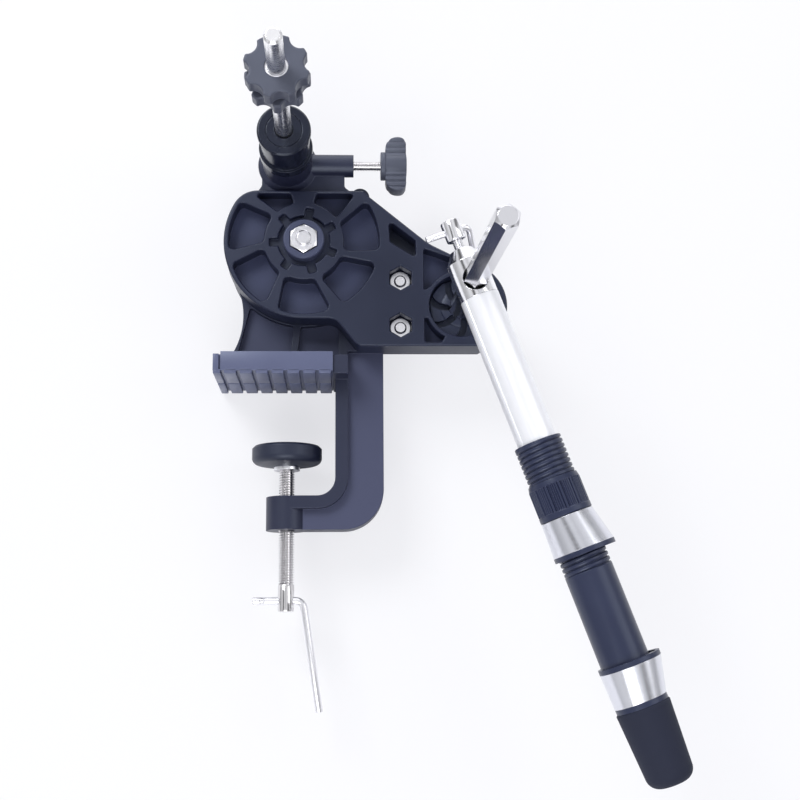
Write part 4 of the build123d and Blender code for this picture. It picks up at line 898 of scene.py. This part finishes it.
start_band = swept_round(traced("start_band", [
    (0, barrel_low), (10.9, barrel_low), (11.2, barrel_low + 0.25), (11.2, barrel_low + 1.0),
    (10.9, barrel_low + 1.3), (0, barrel_low + 1.3),
]), 72)
smooth_length = swept_round(traced("smooth_length", [
    (0, thread_stop - 0.1), (11.0, thread_stop - 0.1), (11.3, thread_stop + 0.3), (11.3, barrel_end),
    (0, barrel_end),
]), 72)
join(barrel, start_band, smooth_length)
carve(barrel, rod("tube_bore", tube_radius + 0.02, 70, 100.2, sides=96))
place(barrel, arm_at)
fit(barrel, "arm", "seat_black", seat_nylon, "seat_barrel")

nut_low, nut_sides, nut_panels = 99.4, 240, 12
waist_low, waist_high, waist_radius = 2.45, 14.65, 12.0
panel = 2 * pi / nut_panels
panel_steps = nut_sides // nut_panels
nut = swept_round(traced("knurled_nut", [
    (11.4, 0.2), (11.55, 0.0), (11.75, 0.1), (12.15, 1.9), (12.2, 2.3), (12.2, 2.5), (12.2, 14.6),
    (12.2, 14.8), (12.4, 15.1), (12.4, 17.2), (12.15, 17.6), (11.4, 17.6), (11.4, 0.2),
]), nut_sides)


def on_waist(p, wanted):
    """Whether a corner lies on the nut's waist, at a step of its panel that is wanted."""
    turn = (atan2(p.y, p.x) + pi / nut_sides) % panel
    step = int(turn / panel * panel_steps + 0.001)
    return waist_low < p.z < waist_high and hypot(p.x, p.y) > waist_radius and wanted(step)


edit(nut)
for wanted, share in (
    (lambda step: step in (0, 5), 0.955),
    (lambda step: 1 <= step <= 4, 1.018),
    (lambda step: step > 6 and step % 3 == 0, 0.966),
):
    choose(nut, "VERT", lambda p: on_waist(p, wanted))
    bpy.ops.transform.resize(value=(share, share, 1), center_override=(0, 0, 0))
leave()
place(nut, arm_at @ Matrix.Translation((0, 0, nut_low * mm)))
fit(nut, "nut", "seat_black", seat_nylon, "seat_nut")

# ---- Hoods and liners
# The hoods are drawn cones of bright stainless sheet over dark nylon liners that hold the
# reel's foot. One slides with the nut, the other is fixed ahead of the grip.
hood_metal = metal("drawn_hood", (0.64, 0.65, 0.71), (0.76, 0.77, 0.83),
                   rough=0.25, streak=(8.0, 8.0, 0.2), marks=0.004, turn=arm_turn)
paint(hood_metal, "sliding_hood", "fixed_hood")
paint(seat_nylon, "sliding_liner", "fixed_liner", "butt_ring")

# ---- Butt grip
# Closed-cell foam turned to a taper and sanded, so it is dull, with open pores all over.
# It is pushed over the barrel's core, up against the ring.
grip_foam = moulded("grip_foam", (0.008, 0.009, 0.022), (0.015, 0.017, 0.036),
                    rough=0.82, grain=1500.0, depth=0.18, edge=1.0)
paint(grip_foam, "butt_grip")

# ---- Clamp foot and screw
# The foot is a black rubber-like disc with a steel collar; the M8 screw has a rolled thread and a
# plain turned end, cross-drilled for its handle.
foot_rubber = moulded("foot_rubber", (0.009, 0.011, 0.026), (0.014, 0.017, 0.038),
                      rough=0.42, grain=1800.0, depth=0.03, edge=0.7, edge_highlight=0.25)
paint(foot_rubber, "clamp_foot")
paint(zinc_plate, "foot_collar")
screw_radius, screw_pitch, bar_height, bar_radius = 4.0, 1.25, -109.3, 1.9
clamp_thread = threaded("clamp_screw_thread", screw_radius, screw_pitch, low=-101.6, high=-36.15)
plain_end = swept_round(traced("plain_end", [
    (0, -114.7), (3.3, -114.7), (3.8, -114.45), (screw_radius, -113.9), (screw_radius, -102.0),
    (3.7, -101.4), (0, -101.4),
]), 40)
bar_hole = begin("bar_hole", bpy.ops.mesh.primitive_cylinder_add, vertices=28,
                 radius=(bar_radius + hole_play) * mm, depth=12 * mm,
                 location=(0, 0, bar_height * mm), rotation=(0, radians(90), 0))
carve(plain_end, bar_hole)
join(clamp_thread, plain_end)
fit(clamp_thread, "screw", "zinc_steel", thread_zinc, "clamp_screw")

# ---- Clamp handle
# A round steel rod, zinc-plated after bending: it slides through the screw, held by two ears
# that are staked beside its free end, and its long leg hangs down with a slight lean outwards.
handle = bent_rod("clamp_bar", radius=bar_radius, left=16.0, right=4.0, bend=4.5, leg=50.0,
                  splay=8.6, ears=(3.0, 5.6), ear_out=1.0)
place(handle, Matrix.Translation((0, 0, bar_height * mm)) @ Matrix.Rotation(pi, 4, "X"))
fit(handle, "handle", "zinc_steel", zinc_plate, "clamp_handle")
